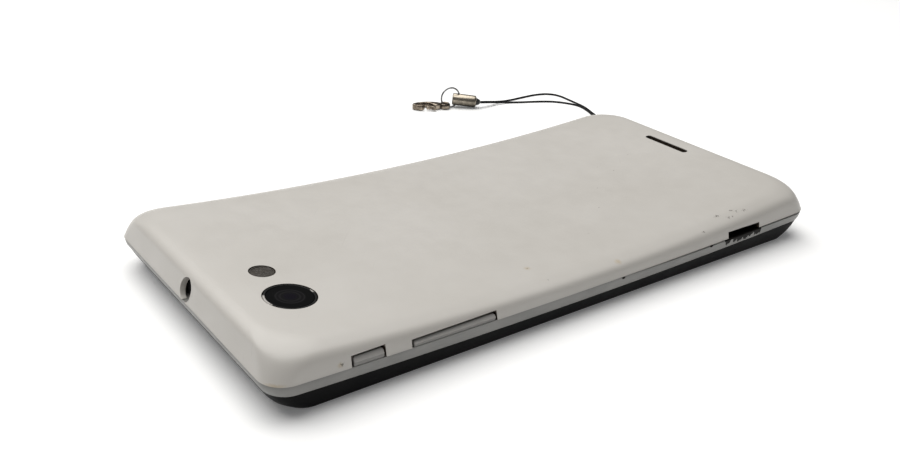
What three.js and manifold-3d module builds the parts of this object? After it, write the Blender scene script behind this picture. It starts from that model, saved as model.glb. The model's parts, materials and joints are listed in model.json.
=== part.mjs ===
// A bar smartphone lying face down, with a concave removable back cover and a clasp strap.
// Millimetres. +Z up through the thickness, +Y towards the camera end, X across the width.
// The origin is under the middle of the phone, on the surface that the front glass lies on.
import * as THREE from 'three';
import { mergeVertices } from 'three/addons/utils/BufferGeometryUtils.js';
import { TessellateModifier } from 'three/addons/modifiers/TessellateModifier.js';
import Module from 'manifold-3d';

const wasm = await Module();
wasm.setup();

// ---- overall sizes ----
const phoneLength = 123.1;
const phoneWidth = 61.2;
const cornerRadius = 4.2;
const shoulderCornerRadius = 7.6;
const frontCornerRadius = 3.7;

// Heights at the waist, half way along, and how much higher each one is at the two ends.
const frontEdgeHeight = 0.3;
const blackHeight = 2.86;
const blackRise = 1.2;
const seamHeight = 5.0;
const seamRise = 0.85;
const backHeight = 7.85;
const backRise = 3.34;

// ---- walls and clearances ----
const coverWall = 0.8;
const seamGap = 0.25;
const fitGap = 0.3;
const slimGap = 0.1;
const hairGap = 0.02;
const cutMargin = 2;
const aboveAll = backHeight + backRise + cutMargin;
const frameWall = 2.8;
const bezelLip = 1.7;

// ---- layers inside, from the glass up ----
const glassThickness = 0.8;
const displayThickness = 1.4;
const plateThickness = 0.3;
const floorThickness = 0.5;
const boardThickness = 0.8;
const displayBottom = glassThickness + slimGap / 2;
const plateBottom = displayBottom + displayThickness + slimGap;
const plateTop = plateBottom + plateThickness;
const floorBottom = plateTop + slimGap;
const floorTop = floorBottom + floorThickness;
const boardBottom = floorTop + slimGap;
const boardTop = boardBottom + boardThickness;
const onBoard = boardTop + slimGap / 2;

const halfWidth = phoneWidth / 2;
const halfLength = phoneLength / 2;
const group = new THREE.Group();

// ---- finishes ----
const finish = (color, roughness, metalness) => new THREE.MeshStandardMaterial({ color, roughness, metalness });
const whiteShell = finish(0xd6d2cb, 0.45, 0);
const greyPlastic = finish(0x7a7d7b, 0.4, 0.1);
const blackPlastic = finish(0x0c0d0d, 0.35, 0);
const darkPlastic = finish(0x222326, 0.6, 0);
const blackGlass = finish(0x050506, 0.06, 0);
const steel = finish(0xa8aaac, 0.35, 0.9);
const champagneMetal = finish(0xa39a86, 0.3, 0.9);
const boardGreen = finish(0x17402b, 0.5, 0);
const goldContact = finish(0xc9a24a, 0.3, 0.9);
const batteryWrap = finish(0x2b2d31, 0.5, 0);
const blackCord = finish(0x101011, 0.8, 0);
const amberFlex = finish(0x8a5a1e, 0.45, 0);

// ---- solids ----
function solid(geometry) {
  const bare = geometry.clone();
  bare.deleteAttribute('normal');
  bare.deleteAttribute('uv');
  const merged = mergeVertices(bare, 1e-4);
  const vertProperties = new Float32Array(merged.attributes.position.array);
  const triVerts = new Uint32Array(merged.index.array);
  return new wasm.Manifold(new wasm.Mesh({ numProp: 3, vertProperties, triVerts }));
}

function cut(body, ...tools) {
  return tools.reduce((left, tool) => left.subtract(tool), body);
}

function join(body, ...others) {
  return others.reduce((whole, other) => whole.add(other), body);
}

function common(body, other) {
  return body.intersect(other);
}

function addPiece(name, body, material) {
  const { vertProperties, triVerts } = body.getMesh();
  const geometry = new THREE.BufferGeometry();
  geometry.setAttribute('position', new THREE.BufferAttribute(vertProperties, 3));
  geometry.setIndex(new THREE.BufferAttribute(triVerts, 1));
  geometry.computeVertexNormals();
  const mesh = new THREE.Mesh(geometry, material);
  mesh.name = name;
  group.add(mesh);
  return mesh;
}

// A box from its lowest to its highest corner.
function block(low, high) {
  const size = high.map((value, axis) => value - low[axis]);
  const geometry = new THREE.BoxGeometry(...size);
  geometry.translate(...high.map((value, axis) => (value + low[axis]) / 2));
  return solid(geometry);
}

// A box given by its centre in the plan, its size in the plan and its two heights.
function slab([x, y], [width, length], low, high) {
  return block([x - width / 2, y - length / 2, low], [x + width / 2, y + length / 2, high]);
}

function disc([x, y], radius, low, high, sides = 24) {
  const geometry = new THREE.CylinderGeometry(radius, radius, high - low, sides);
  geometry.rotateX(Math.PI / 2);
  geometry.translate(x, y, (low + high) / 2);
  return solid(geometry);
}

// A round bar between two points.
function bar(from, to, radius, sides = 16) {
  const start = new THREE.Vector3(...from);
  const along = new THREE.Vector3(...to).sub(start);
  const geometry = new THREE.CylinderGeometry(radius, radius, along.length(), sides);
  geometry.translate(0, along.length() / 2, 0);
  const turn = new THREE.Quaternion().setFromUnitVectors(new THREE.Vector3(0, 1, 0), along.clone().normalize());
  geometry.applyQuaternion(turn);
  geometry.translate(...from);
  return solid(geometry);
}

function roundedOutline(width, length, radius) {
  const x = width / 2;
  const y = length / 2;
  const shape = new THREE.Shape();
  shape.absarc(x - radius, y - radius, radius, 0, Math.PI / 2);
  shape.absarc(-x + radius, y - radius, radius, Math.PI / 2, Math.PI);
  shape.absarc(-x + radius, -y + radius, radius, Math.PI, 1.5 * Math.PI);
  shape.absarc(x - radius, -y + radius, radius, 1.5 * Math.PI, 2 * Math.PI);
  shape.closePath();
  return shape;
}

// A flat plate with rounded corners.
function plate([x, y], [width, length], radius, low, high, curveSegments = 2) {
  const options = { depth: high - low, bevelEnabled: false, curveSegments };
  const geometry = new THREE.ExtrudeGeometry(roundedOutline(width, length, radius), options);
  geometry.translate(x, y, low);
  return solid(geometry);
}

// ---- the arch of the body ----
// Each level of the body rises towards both ends by its own amount, along a parabola.
const archLevels = [[0, 0], [frontEdgeHeight, 0], [blackHeight, blackRise],
  [seamHeight, seamRise], [backHeight, backRise]];

function riseOf(height) {
  const last = archLevels[archLevels.length - 1];
  if (height >= last[0]) return last[1];
  const upper = archLevels.findIndex(([level]) => level > height);
  const [lowLevel, lowRise] = archLevels[upper - 1];
  const [highLevel, highRise] = archLevels[upper];
  const share = (height - lowLevel) / (highLevel - lowLevel);
  return lowRise + share * (highRise - lowRise);
}

function archedHeight(height, y) {
  return height + riseOf(height) * (y / halfLength) ** 2;
}

// A disc set square to the arched back. Its low and high are measured from the back's surface.
function backDisc([x, y], radius, low, high, sides = 24) {
  const slope = 2 * backRise * y / halfLength ** 2;
  const geometry = new THREE.CylinderGeometry(radius, radius, high - low, sides);
  geometry.rotateX(Math.PI / 2);
  geometry.translate(0, 0, (low + high) / 2);
  geometry.rotateX(Math.atan(slope));
  geometry.translate(x, y, archedHeight(backHeight, y));
  return solid(geometry);
}

// A stack of rounded outlines. Each level has its height, its side and end insets and its corner radius.
// Each step of the extrusion becomes one level, and the finished stack is then arched.
const facetLength = 16;
function stack(levels, curveSegments = 2) {
  const steps = levels.length - 1;
  const outline = roundedOutline(phoneWidth, phoneLength, cornerRadius);
  const atLevel = (value, half, inset, radius) => {
    const alongArc = (Math.abs(value) - half + cornerRadius) / cornerRadius;
    return Math.sign(value) * (half - inset - radius + alongArc * radius);
  };
  const options = { depth: steps, steps, bevelEnabled: false, curveSegments };
  let geometry = new THREE.ExtrudeGeometry(outline, options);
  const place = geometry.attributes.position;
  for (let i = 0; i < place.count; i += 1) {
    const [height, sideInset, endInset, radius] = levels[Math.round(place.getZ(i))];
    const x = atLevel(place.getX(i), halfWidth, sideInset, radius);
    const y = atLevel(place.getY(i), halfLength, endInset, radius);
    place.setXYZ(i, x, y, height);
  }
  geometry.deleteAttribute('normal');
  geometry.deleteAttribute('uv');
  geometry = new TessellateModifier(facetLength, 24).modify(geometry);
  const fine = geometry.attributes.position;
  for (let i = 0; i < fine.count; i += 1) {
    fine.setZ(i, archedHeight(fine.getZ(i), fine.getY(i)));
  }
  return solid(geometry);
}

// ---- outer skin ----
// The insets of the back cover's outside: a wall that leans in, a rounded shoulder, a flat back.
const coverRise = backHeight - seamHeight;
const coverProfile = [[0, 0, 0], [0.3, 0.24, 0.41], [0.6, 0.6, 0.92], [0.78, 1.35, 1.3], [0.9, 2.6, 1.95],
  [0.97, 3.7, 2.8], [1, 4.8, 3.8]];
function coverLevels(inset, drop, start) {
  const levels = coverProfile.map(([share, side, end]) => {
    const radius = cornerRadius + share ** 1.5 * (shoulderCornerRadius - cornerRadius);
    return [seamHeight + share * (coverRise - drop), side + inset, end + inset, radius - inset];
  });
  levels[0][0] = start;
  return levels;
}

const coverOutside = stack(coverLevels(0, 0, seamHeight + seamGap / 2));
const coverInside = stack(coverLevels(coverWall, coverWall, seamHeight - cutMargin));
// What stays inside the cover keeps this much further in.
const underCover = stack(coverLevels(coverWall + fitGap, coverWall + fitGap, floorBottom));
const inCover = (body) => common(body, underCover);

// ---- places of the features ----
const cameraPlace = [-13.8, 49.5];
const cameraRingRadius = 4.35;
const cameraWindowRadius = 3.85;
const flashPlace = [-4.1, 49.5];
const flashRadius = 2.2;
const speakerPlace = [3.5, -54.6];
const speakerSlotLength = 12;
const speakerSlotWidth = 1.6;
const jackBoreRadius = 1.78;
const jackHoleRadius = 1.98;
const jackHeight = 7.95;
const jackTilt = 0.085;
const powerKey = { from: 42.4, to: 48.3, top: 7.5 };
const volumeKey = { from: 21.2, to: 37.7, top: 6.8 };
const pryNotch = { from: -45.2, to: -36.0, height: 1.05 };
const usbPlace = 40;
const usbWidth = 7.6;
const usbHeight = 2.7;
const strapPost = [24.6, -55.2];
const strapPostRadius = 1.2;
const strapPostTop = 7.6;

// ---- front ----
const glassInset = { side: 1.9, end: 4.7 };
const glassSize = [phoneWidth - 2 * glassInset.side, phoneLength - 2 * glassInset.end];
const glassRadius = 3.6;
const frontGlass = plate([0, 0], glassSize, glassRadius, 0, glassThickness);
addPiece('front_glass', frontGlass, blackGlass);

const windowCornerRadius = 2.5;
const bezelLevels = [
  [frontEdgeHeight, 1.4, 4.1, frontCornerRadius],
  [1.2, 1.0, 2.4, frontCornerRadius],
  [blackHeight, 0.5, 0.8, frontCornerRadius],
];
const seatSize = glassSize.map((size) => size + 2 * slimGap);
const windowSize = glassSize.map((size) => size - 2 * bezelLip);
const trayInset = { side: 1.5, end: 3 };
const trayCornerRadius = 4.0;
const traySize = [phoneWidth - 2 * trayInset.side, phoneLength - 2 * trayInset.end];
const traySeat = traySize.map((size) => size + 2 * slimGap);
const earpiecePlace = [0, 53.2];
const frontBezel = cut(
  stack(bezelLevels),
  plate([0, 0], seatSize, glassRadius, -cutMargin, displayBottom),
  plate([0, 0], windowSize, windowCornerRadius, -cutMargin, backHeight),
  plate([0, 0], traySeat, trayCornerRadius + slimGap, plateTop, backHeight),
);
addPiece('front_bezel', frontBezel, blackPlastic);

const displaySize = [53.4, 96];
const displayCentre = [0, 2.5];
const displayTop = displayBottom + displayThickness;
addPiece('display_module', slab(displayCentre, displaySize, displayBottom, displayTop), darkPlastic);
const receiverSize = [11, 3.4];
const receiverCorner = 1.6;
addPiece('receiver', plate(earpiecePlace, receiverSize, receiverCorner, displayBottom, plateBottom), steel);
const frontCameraPlace = [13.5, 52.8];
const frontCameraSize = [4.4, 4.4];
const frontBarrel = { radius: 1.5, height: 0.8, base: 0.6 };
const frontCamera = join(
  slab(frontCameraPlace, frontCameraSize, displayBottom + frontBarrel.base, plateBottom),
  disc(frontCameraPlace, frontBarrel.radius, displayBottom, displayBottom + frontBarrel.height, 16),
);
addPiece('front_camera', frontCamera, darkPlastic);
const proximityPlace = [-12, 53.0];
const proximitySize = [3.6, 2.2];
const proximityTop = displayBottom + 1.0;
addPiece('proximity_sensor', slab(proximityPlace, proximitySize, displayBottom, proximityTop), darkPlastic);
const lightPlace = [-18.5, 53.0];
const lightSize = [1.6, 1.6];
const lightTop = displayBottom + 0.7;
addPiece('notification_light', slab(lightPlace, lightSize, displayBottom, lightTop), greyPlastic);

// ---- chassis ----
const plateSize = windowSize.map((size) => size - 2 * slimGap);
const plateCorner = windowCornerRadius - slimGap;
addPiece('chassis_plate', plate([0, 0], plateSize, plateCorner, plateBottom, plateTop), steel);

const batterySize = [44, 50];
const batteryCentre = [0, -11];
const batteryTop = 6.75;
const batteryWell = batterySize.map((size) => size + 2 * fitGap);
const frameEndWall = frameWall + trayInset.side;
const frameHollow = [phoneWidth - 2 * frameWall, phoneLength - 2 * frameEndWall];
const hollowCorner = 2.8;
const wellStep = 1;
const frameLevels = [
  [blackHeight + slimGap, 0.46, 0.74, frontCornerRadius],
  [seamHeight - seamGap / 2, 0.06, 0.1, cornerRadius],
];
const bossRadius = 1.7;
const screwPlaces = [[-21.2, 52.5], [21.2, 52.5], [-20, -45.5], [21, -45.5]];
const boardScrewPlaces = [[-24, 19.5], [24, 19.5]];
const innerClear = coverWall + seamGap;
const innerWall = 0.7;
const roofOver = (y) => archedHeight(backHeight - innerClear, y);
const roofUnder = (y) => archedHeight(backHeight - innerClear - innerWall, y);
const bossTop = ([, y]) => roofUnder(Math.abs(y) - bossRadius) - slimGap;
const screwShankRadius = 0.75;
const pilotRadius = 0.85;
const pilotDepth = 2.6;

const usbLow = boardTop + slimGap;
const usbReach = { frame: 6, cover: 3 };
function usbCut(grow, reach) {
  const low = [halfWidth - reach, usbPlace - usbWidth / 2 - grow, usbLow - grow];
  const high = [halfWidth + cutMargin, usbPlace + usbWidth / 2 + grow, usbLow + usbHeight + grow];
  return block(low, high);
}

// The slot in the corner that the strap leaves by runs out along this direction.
const strapMouth = [30.6, -61.8];
const strapOut = new THREE.Vector2(...strapMouth).sub(new THREE.Vector2(...strapPost)).normalize();
const strapSlotSize = [12, 3.4, 1.6];
const strapSlotMiddle = 7.5;
const strapExitHeight = 5.7;
function strapSlot() {
  const geometry = new THREE.BoxGeometry(...strapSlotSize);
  geometry.rotateZ(Math.atan2(strapOut.y, strapOut.x));
  const x = strapPost[0] + strapOut.x * strapSlotMiddle;
  const y = strapPost[1] + strapOut.y * strapSlotMiddle;
  geometry.translate(x, y, strapExitHeight);
  return solid(geometry);
}

const frameRing = join(
  stack(frameLevels),
  plate([0, 0], traySize, trayCornerRadius, floorBottom, seamHeight - seamGap),
);
const hollowFrame = cut(
  frameRing,
  plate([0, 0], frameHollow, hollowCorner, floorTop, backHeight),
  slab(batteryCentre, batteryWell, 0, floorTop + wellStep),
);
const bossed = join(
  hollowFrame,
  ...screwPlaces.map((place) => disc(place, bossRadius, floorTop - slimGap, bossTop(place), 12)),
  disc(strapPost, strapPostRadius, floorTop - slimGap, strapPostTop, 12),
);
const pilots = screwPlaces.map((place) => {
  return disc(place, pilotRadius, bossTop(place) - pilotDepth, aboveAll, 12);
});
const boardPilots = boardScrewPlaces.map((place) => disc(place, pilotRadius, 0, backHeight, 12));
const midFrame = cut(
  bossed,
  ...pilots,
  ...boardPilots,
  usbCut(fitGap, usbReach.frame),
  strapSlot(),
);
addPiece('mid_frame', midFrame, greyPlastic);

// ---- boards ----
const boardWidth = frameHollow[0] - 2 * fitGap;
const mainBoardFrom = batteryCentre[1] + batteryWell[1] / 2 + fitGap;
const mainBoardTo = frameHollow[1] / 2 - fitGap;
const boardOutline = plate([0, 0], [boardWidth, 2 * mainBoardTo], hollowCorner, boardBottom, boardTop);
const cameraBay = [9.4, 9.4];
const mainBoard = cut(
  common(boardOutline, block([-halfWidth, mainBoardFrom, 0], [halfWidth, halfLength, backHeight])),
  slab(cameraPlace, cameraBay, 0, backHeight),
  ...screwPlaces.map((place) => disc(place, bossRadius + fitGap, 0, backHeight, 12)),
  ...boardPilots,
);
addPiece('main_board', mainBoard, boardGreen);
const subBoardTo = batteryCentre[1] - batteryWell[1] / 2 - fitGap;
const motorPlace = [-20.5, -52.8];
const motorLength = 7;
const motorBay = { shift: 5, size: [12, 4.6] };
const strapBay = { shift: [4, -3], size: [16, 14] };
const subBoard = cut(
  common(boardOutline, block([-halfWidth, -halfLength, 0], [halfWidth, subBoardTo, backHeight])),
  slab([motorPlace[0] + motorBay.shift, motorPlace[1]], motorBay.size, 0, backHeight),
  ...screwPlaces.map((place) => disc(place, bossRadius + fitGap, 0, backHeight, 12)),
  slab([strapPost[0] + strapBay.shift[0], strapPost[1] + strapBay.shift[1]], strapBay.size, 0, backHeight),
);
addPiece('sub_board', subBoard, boardGreen);
const linkFlexWidth = 2.8;
const linkFlexThickness = 0.3;
const linkFlexTo = boardWidth / 2 - 0.8;
const linkFlex = block(
  [linkFlexTo - linkFlexWidth, subBoardTo + fitGap, boardBottom],
  [linkFlexTo, mainBoardFrom - fitGap, boardBottom + linkFlexThickness],
);
addPiece('board_link_flex', linkFlex, amberFlex);

// ---- on the main board ----
const canHeight = 1.2;
const canTop = onBoard + canHeight;
const lowerCanHalf = 19;
const lowerCanFrom = mainBoardFrom + 1.4;
const lowerCanTo = 30;
const lowerCan = block([-lowerCanHalf, lowerCanFrom, onBoard], [lowerCanHalf, lowerCanTo, canTop]);
addPiece('shield_can_lower', lowerCan, steel);
const upperCanPlace = [13.8, 51.6];
const upperCanSize = [9.6, 9.2];
addPiece('shield_can_upper', slab(upperCanPlace, upperCanSize, onBoard, canTop), steel);

// A card lies in its socket, whose mouth faces the battery, and slides out over the shield can.
const cardLift = canTop + slimGap;
const socketBack = 1;
function cardSocket([x, y], [cardWidth, cardLength, cardThickness], wall) {
  const size = [cardWidth + 2 * wall, cardLength - socketBack];
  const body = slab([x, y], size, onBoard, cardLift + cardThickness + wall);
  const throat = block(
    [x - cardWidth / 2 - slimGap, y - cardLength, cardLift - slimGap / 2],
    [x + cardWidth / 2 + slimGap, y + cardLength / 2 - socketBack, cardLift + cardThickness + slimGap],
  );
  return cut(body, throat);
}
const simSize = [15, 12, 0.76];
const simPlace = [-8.5, 37.5];
const memorySize = [11, 15, 0.9];
const memoryPlace = [11, 39.2];
const socketWall = 0.5;
const cardStandOut = 1.4;
addPiece('sim_socket', cardSocket(simPlace, simSize, socketWall), steel);
addPiece('memory_socket', cardSocket(memoryPlace, memorySize, socketWall), steel);

function card([x, y], [width, length, thickness], chamfer) {
  const shape = new THREE.Shape();
  shape.moveTo(-width / 2, -length / 2);
  shape.lineTo(width / 2, -length / 2);
  shape.lineTo(width / 2, length / 2 - chamfer);
  shape.lineTo(width / 2 - chamfer, length / 2);
  shape.lineTo(-width / 2, length / 2);
  shape.closePath();
  const geometry = new THREE.ExtrudeGeometry(shape, { depth: thickness, bevelEnabled: false });
  geometry.translate(x, y - cardStandOut, cardLift);
  return solid(geometry);
}
const simChamfer = 2.2;
const memoryChamfer = 1.6;
addPiece('sim_card', card(simPlace, simSize, simChamfer), whiteShell);
addPiece('memory_card', card(memoryPlace, memorySize, memoryChamfer), darkPlastic);

const contactSize = [9, 1.1];
const contactHeight = 2.0;
const contactPlace = [-15, mainBoardFrom + contactSize[1] / 2 + 2 * slimGap];
addPiece('battery_connector', slab(contactPlace, contactSize, onBoard, onBoard + contactHeight), goldContact);
addPiece('battery', slab(batteryCentre, batterySize, plateTop + slimGap / 2, batteryTop), batteryWrap);

// ---- headphone jack, tilted along the arch of the back ----
const jackFront = 59.6;
const jackDepth = 12;
const jackBody = { width: 6.2, height: 3.9, drop: 0.15 };
const jackBoreStart = 1;
function jackTurned(geometry) {
  geometry.translate(0, -jackDepth / 2, 0);
  geometry.rotateX(Math.atan(jackTilt));
  geometry.translate(0, jackFront, jackHeight - jackBody.drop);
  return solid(geometry);
}
const jackBore = new THREE.CylinderGeometry(jackBoreRadius, jackBoreRadius, jackDepth, 20);
jackBore.translate(0, jackBoreStart, 0);
const jackShell = inCover(jackTurned(new THREE.BoxGeometry(jackBody.width, jackDepth, jackBody.height)));
const headphoneJack = cut(jackShell, jackTurned(jackBore));
addPiece('headphone_jack', headphoneJack, darkPlastic);

// ---- USB socket ----
const usbDepth = 5.2;
const usbMouth = halfWidth - 1.4;
const usbWall = 0.35;
const usbBack = 1;
const tongue = { half: 1.9, low: 1.4, thickness: 0.5, from: 0.5, to: 0.8 };
const usbShell = block(
  [usbMouth - usbDepth, usbPlace - usbWidth / 2, usbLow],
  [usbMouth, usbPlace + usbWidth / 2, usbLow + usbHeight],
);
const usbHollow = block(
  [usbMouth - usbDepth + usbBack, usbPlace - usbWidth / 2 + usbWall, usbLow + usbWall],
  [usbMouth + cutMargin, usbPlace + usbWidth / 2 - usbWall, usbLow + usbHeight - usbWall],
);
const usbTongue = block(
  [usbMouth - usbDepth + tongue.from, usbPlace - tongue.half, usbLow + tongue.low],
  [usbMouth - tongue.to, usbPlace + tongue.half, usbLow + tongue.low + tongue.thickness],
);
addPiece('usb_socket', join(cut(usbShell, usbHollow), usbTongue), steel);

// ---- camera and flash ----
const cameraBody = { size: 8.6, low: floorTop + slimGap, high: 6.9 };
const lensRadius = 3.1;
const lensHole = lensRadius + slimGap;
const lensLow = 5.4;
const lensHigh = 8.1;
const lensPit = 0.5;
const cameraShell = cut(
  slab(cameraPlace, [cameraBody.size, cameraBody.size], cameraBody.low, cameraBody.high),
  disc(cameraPlace, lensHole, lensLow - lensPit, aboveAll),
);
addPiece('camera_body', cameraShell, darkPlastic);
addPiece('camera_lens', disc(cameraPlace, lensRadius, lensLow, lensHigh), blackPlastic);
const ringDepth = 1.25;
const windowThickness = 0.7;
const windowSink = 0.06;
const windowRadius = cameraWindowRadius - slimGap / 2;
const cameraRing = cut(
  backDisc(cameraPlace, cameraRingRadius - slimGap, -ringDepth, 0, 32),
  backDisc(cameraPlace, cameraWindowRadius, -cutMargin, cutMargin, 32),
);
addPiece('camera_ring', cameraRing, blackPlastic);
const cameraWindow = backDisc(cameraPlace, windowRadius, -windowSink - windowThickness, -windowSink, 32);
addPiece('camera_window', cameraWindow, blackGlass);
const flashSink = 0.05;
const flashDepth = 1.25;
addPiece('flash_window', backDisc(flashPlace, flashRadius - slimGap, -flashDepth, -flashSink), greyPlastic);
const ledSize = [2.0, 2.4];
const ledPlace = [-jackBody.width / 2 - fitGap - ledSize[0] / 2, flashPlace[1]];
const ledTop = archedHeight(backHeight, flashPlace[1] - flashRadius) - flashDepth - slimGap;
addPiece('flash_led', slab(ledPlace, ledSize, onBoard, ledTop), goldContact);

// ---- bottom end ----
const speakerSize = [16, 12.4];
const speakerCentre = [speakerPlace[0], -50.6];
const speakerDrop = 2.1;
const speakerFrom = speakerCentre[1] + speakerSize[1] / 2;
const speakerTop = archedHeight(backHeight, speakerFrom) - coverWall - speakerDrop;
addPiece('loudspeaker', slab(speakerCentre, speakerSize, onBoard, speakerTop), darkPlastic);
const motorRadius = 1.9;
const motorHeight = floorTop + motorRadius + slimGap;
const shaftRadius = 0.4;
const shaftLength = 3.4;
const shaftRoot = 1;
const alongMotor = (x) => [x, motorPlace[1], motorHeight];
const motorTo = motorPlace[0] + motorLength;
const motor = join(
  bar(alongMotor(motorPlace[0]), alongMotor(motorTo), motorRadius),
  bar(alongMotor(motorTo - shaftRoot), alongMotor(motorTo + shaftLength), shaftRadius, 10),
);
addPiece('vibration_motor', motor, steel);
const weightFrom = motorTo + fitGap;
const weightTo = weightFrom + 2.4;
const weightRadius = 1.7;
const weightFlat = 0.75;
const weightBore = shaftRadius + 0.08;
const weight = cut(
  bar(alongMotor(weightFrom), alongMotor(weightTo), weightRadius, 18),
  block(
    [weightFrom - cutMargin, motorPlace[1] - cutMargin, motorHeight + weightFlat],
    [weightTo + cutMargin, motorPlace[1] + cutMargin, motorHeight + cutMargin],
  ),
  bar(alongMotor(weightFrom - cutMargin), alongMotor(weightTo + cutMargin), weightBore, 10),
);
addPiece('vibration_weight', weight, steel);
const microphonePlace = [17, -55.7];
const microphoneSize = [3, 2];
const microphoneTop = onBoard + 1.1;
addPiece('microphone', slab(microphonePlace, microphoneSize, onBoard, microphoneTop), steel);
const antennaPlace = [-15.7, -56.45];
const antennaSize = [14.6, 0.9];
const antennaTop = 7.4;
addPiece('antenna', slab(antennaPlace, antennaSize, onBoard, antennaTop), amberFlex);

// ---- inner covers over both ends ----
const innerLow = 5.8;
const innerShell = cut(
  stack(coverLevels(innerClear, innerClear, seamHeight - cutMargin)),
  stack(coverLevels(innerClear + innerWall, innerClear + innerWall, seamHeight - 2 * cutMargin)),
);
const headRadius = 1.2;
const headThickness = 0.4;
const headTop = (y) => roofOver(Math.abs(y) - headRadius) - slimGap / 2;
const screwCuts = screwPlaces.flatMap(([x, y]) => [
  disc([x, y], headRadius + slimGap, headTop(y) - headThickness, aboveAll, 12),
  disc([x, y], pilotRadius, 0, aboveAll, 12),
]);
const upperFrom = 44.6;
// The side keys' switches stand in a bay at the edge, and taller parts have pockets in the covers' undersides.
const switchX = -halfWidth + 3.9;
const switchSize = [0.8, 3.0, 1.6];
const flexX = switchX + switchSize[0] + slimGap / 2;
const flexThickness = 0.4;
const keyBay = { to: flexX + flexThickness + slimGap, past: 1.4 };
const pocket = (place, size, top) => slab(place, size.map((value) => value + 2 * slimGap), 0, top + slimGap);
const memorySocketSize = [memorySize[0] + 2 * socketWall, memorySize[1] - socketBack];
const jackBay = { centre: 54.5, length: 16 };
const upperInner = cut(
  common(innerShell, block([-halfWidth, upperFrom, innerLow], [halfWidth, halfLength, aboveAll])),
  backDisc(cameraPlace, cameraRingRadius + slimGap, -backHeight, cutMargin, 32),
  backDisc(flashPlace, flashRadius + slimGap, -backHeight, cutMargin),
  slab([0, jackBay.centre], [jackBody.width + 2 * fitGap, jackBay.length], 0, aboveAll),
  block([-halfWidth, upperFrom - cutMargin, 0], [keyBay.to, powerKey.to + keyBay.past, aboveAll]),
  pocket(memoryPlace, memorySocketSize, cardLift + memorySize[2] + socketWall),
  pocket(cameraPlace, [cameraBody.size, cameraBody.size], cameraBody.high),
  ...screwCuts,
);
addPiece('upper_inner_cover', upperInner, darkPlastic);
const lowerTo = -43.2;
const meshBay = [speakerSlotLength + 1.5, speakerSlotWidth + 2.4];
const motorCentre = [(motorPlace[0] + motorTo) / 2, motorPlace[1]];
const strapClear = { centre: [27, -59.2], size: [13, 11], high: 8.2 };
const lowerInner = cut(
  common(innerShell, block([-halfWidth, -halfLength, innerLow], [halfWidth, lowerTo, aboveAll])),
  slab(speakerPlace, meshBay, 0, aboveAll),
  slab(strapClear.centre, strapClear.size, 0, strapClear.high),
  pocket(antennaPlace, antennaSize, antennaTop),
  pocket(motorCentre, [motorLength, 2 * motorRadius], motorHeight + motorRadius),
  ...screwCuts,
);
addPiece('lower_inner_cover', lowerInner, darkPlastic);

const driveSize = [1.5, 0.35];
const driveDepth = 0.2;
function screwAt(place, headLow, shankLow) {
  const headHigh = headLow + headThickness;
  return cut(
    join(
      disc(place, headRadius, headLow, headHigh, 12),
      disc(place, screwShankRadius, shankLow, headLow + slimGap, 12),
    ),
    slab(place, driveSize, headHigh - driveDepth, aboveAll),
  );
}
screwPlaces.forEach((place, index) => {
  const headLow = headTop(place[1]) - headThickness;
  const shankLow = bossTop(place) - pilotDepth + slimGap;
  addPiece(`cover_screw_${index + 1}`, screwAt(place, headLow + hairGap, shankLow), steel);
});
boardScrewPlaces.forEach((place, index) => {
  addPiece(`board_screw_${index + 1}`, screwAt(place, onBoard, floorBottom + slimGap), steel);
});

// ---- keys ----
const keyClear = 0.22;
const keyTravel = 0.35;
const keyOuter = stack(coverLevels(0.1, 0, seamHeight + slimGap / 2));
const keyFaceDepth = 1.75;
const stemRadius = 0.6;
const keyHeight = 6.0;
function sideKey(key, plungers) {
  const inner = -halfWidth + keyFaceDepth;
  const face = common(
    keyOuter,
    block([-halfWidth - cutMargin, key.from + keyClear, 0], [inner, key.to - keyClear, key.top - keyClear]),
  );
  const stems = plungers.map((y) => {
    const to = switchX - keyTravel - slimGap;
    return bar([inner - fitGap, y, keyHeight], [to, y, keyHeight], stemRadius, 10);
  });
  return join(face, ...stems);
}
const plungerInset = 3.4;
const volumePlungers = [volumeKey.from + plungerInset, volumeKey.to - plungerInset];
const powerPlunger = (powerKey.from + powerKey.to) / 2;
addPiece('power_key', sideKey(powerKey, [powerPlunger]), whiteShell);
addPiece('volume_key', sideKey(volumeKey, volumePlungers), whiteShell);
function domeSwitch(y) {
  const low = [switchX, y - switchSize[1] / 2, keyHeight - switchSize[2] / 2];
  return block(low, low.map((value, axis) => value + switchSize[axis]));
}
addPiece('power_switch', domeSwitch(powerPlunger), steel);
addPiece('volume_down_switch', domeSwitch(volumePlungers[0]), steel);
addPiece('volume_up_switch', domeSwitch(volumePlungers[1]), steel);
const flexInset = 1;
const keyFlex = block(
  [flexX, volumeKey.from + flexInset, boardTop + flexThickness],
  [flexX + flexThickness, powerKey.to - flexInset, keyHeight + flexInset],
);
addPiece('key_flex', keyFlex, amberFlex);

// ---- back cover ----
const notchDepth = 3;
function coverNotch({ from, to }, top) {
  return block([-halfWidth - cutMargin, from, 0], [-halfWidth + notchDepth, to, top]);
}
const pryTop = archedHeight(seamHeight + seamGap / 2, pryNotch.from) + pryNotch.height;
const slotRadius = speakerSlotWidth / 2 - slimGap / 2;
const slotSize = [speakerSlotLength, speakerSlotWidth];
const backCover = cut(
  coverOutside,
  coverInside,
  backDisc(cameraPlace, cameraRingRadius, -cutMargin, cutMargin, 32),
  backDisc(flashPlace, flashRadius, -cutMargin, cutMargin),
  plate(speakerPlace, slotSize, slotRadius, seamHeight, aboveAll, 4),
  bar([0, jackFront - cutMargin, jackHeight], [0, halfLength + cutMargin, jackHeight], jackHoleRadius, 24),
  coverNotch(powerKey, powerKey.top),
  coverNotch(volumeKey, volumeKey.top),
  coverNotch(pryNotch, pryTop),
  usbCut(fitGap, usbReach.cover),
  strapSlot(),
);
addPiece('back_cover', backCover, whiteShell);
const meshLedge = { side: 0.4, end: 0.7 };
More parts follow.
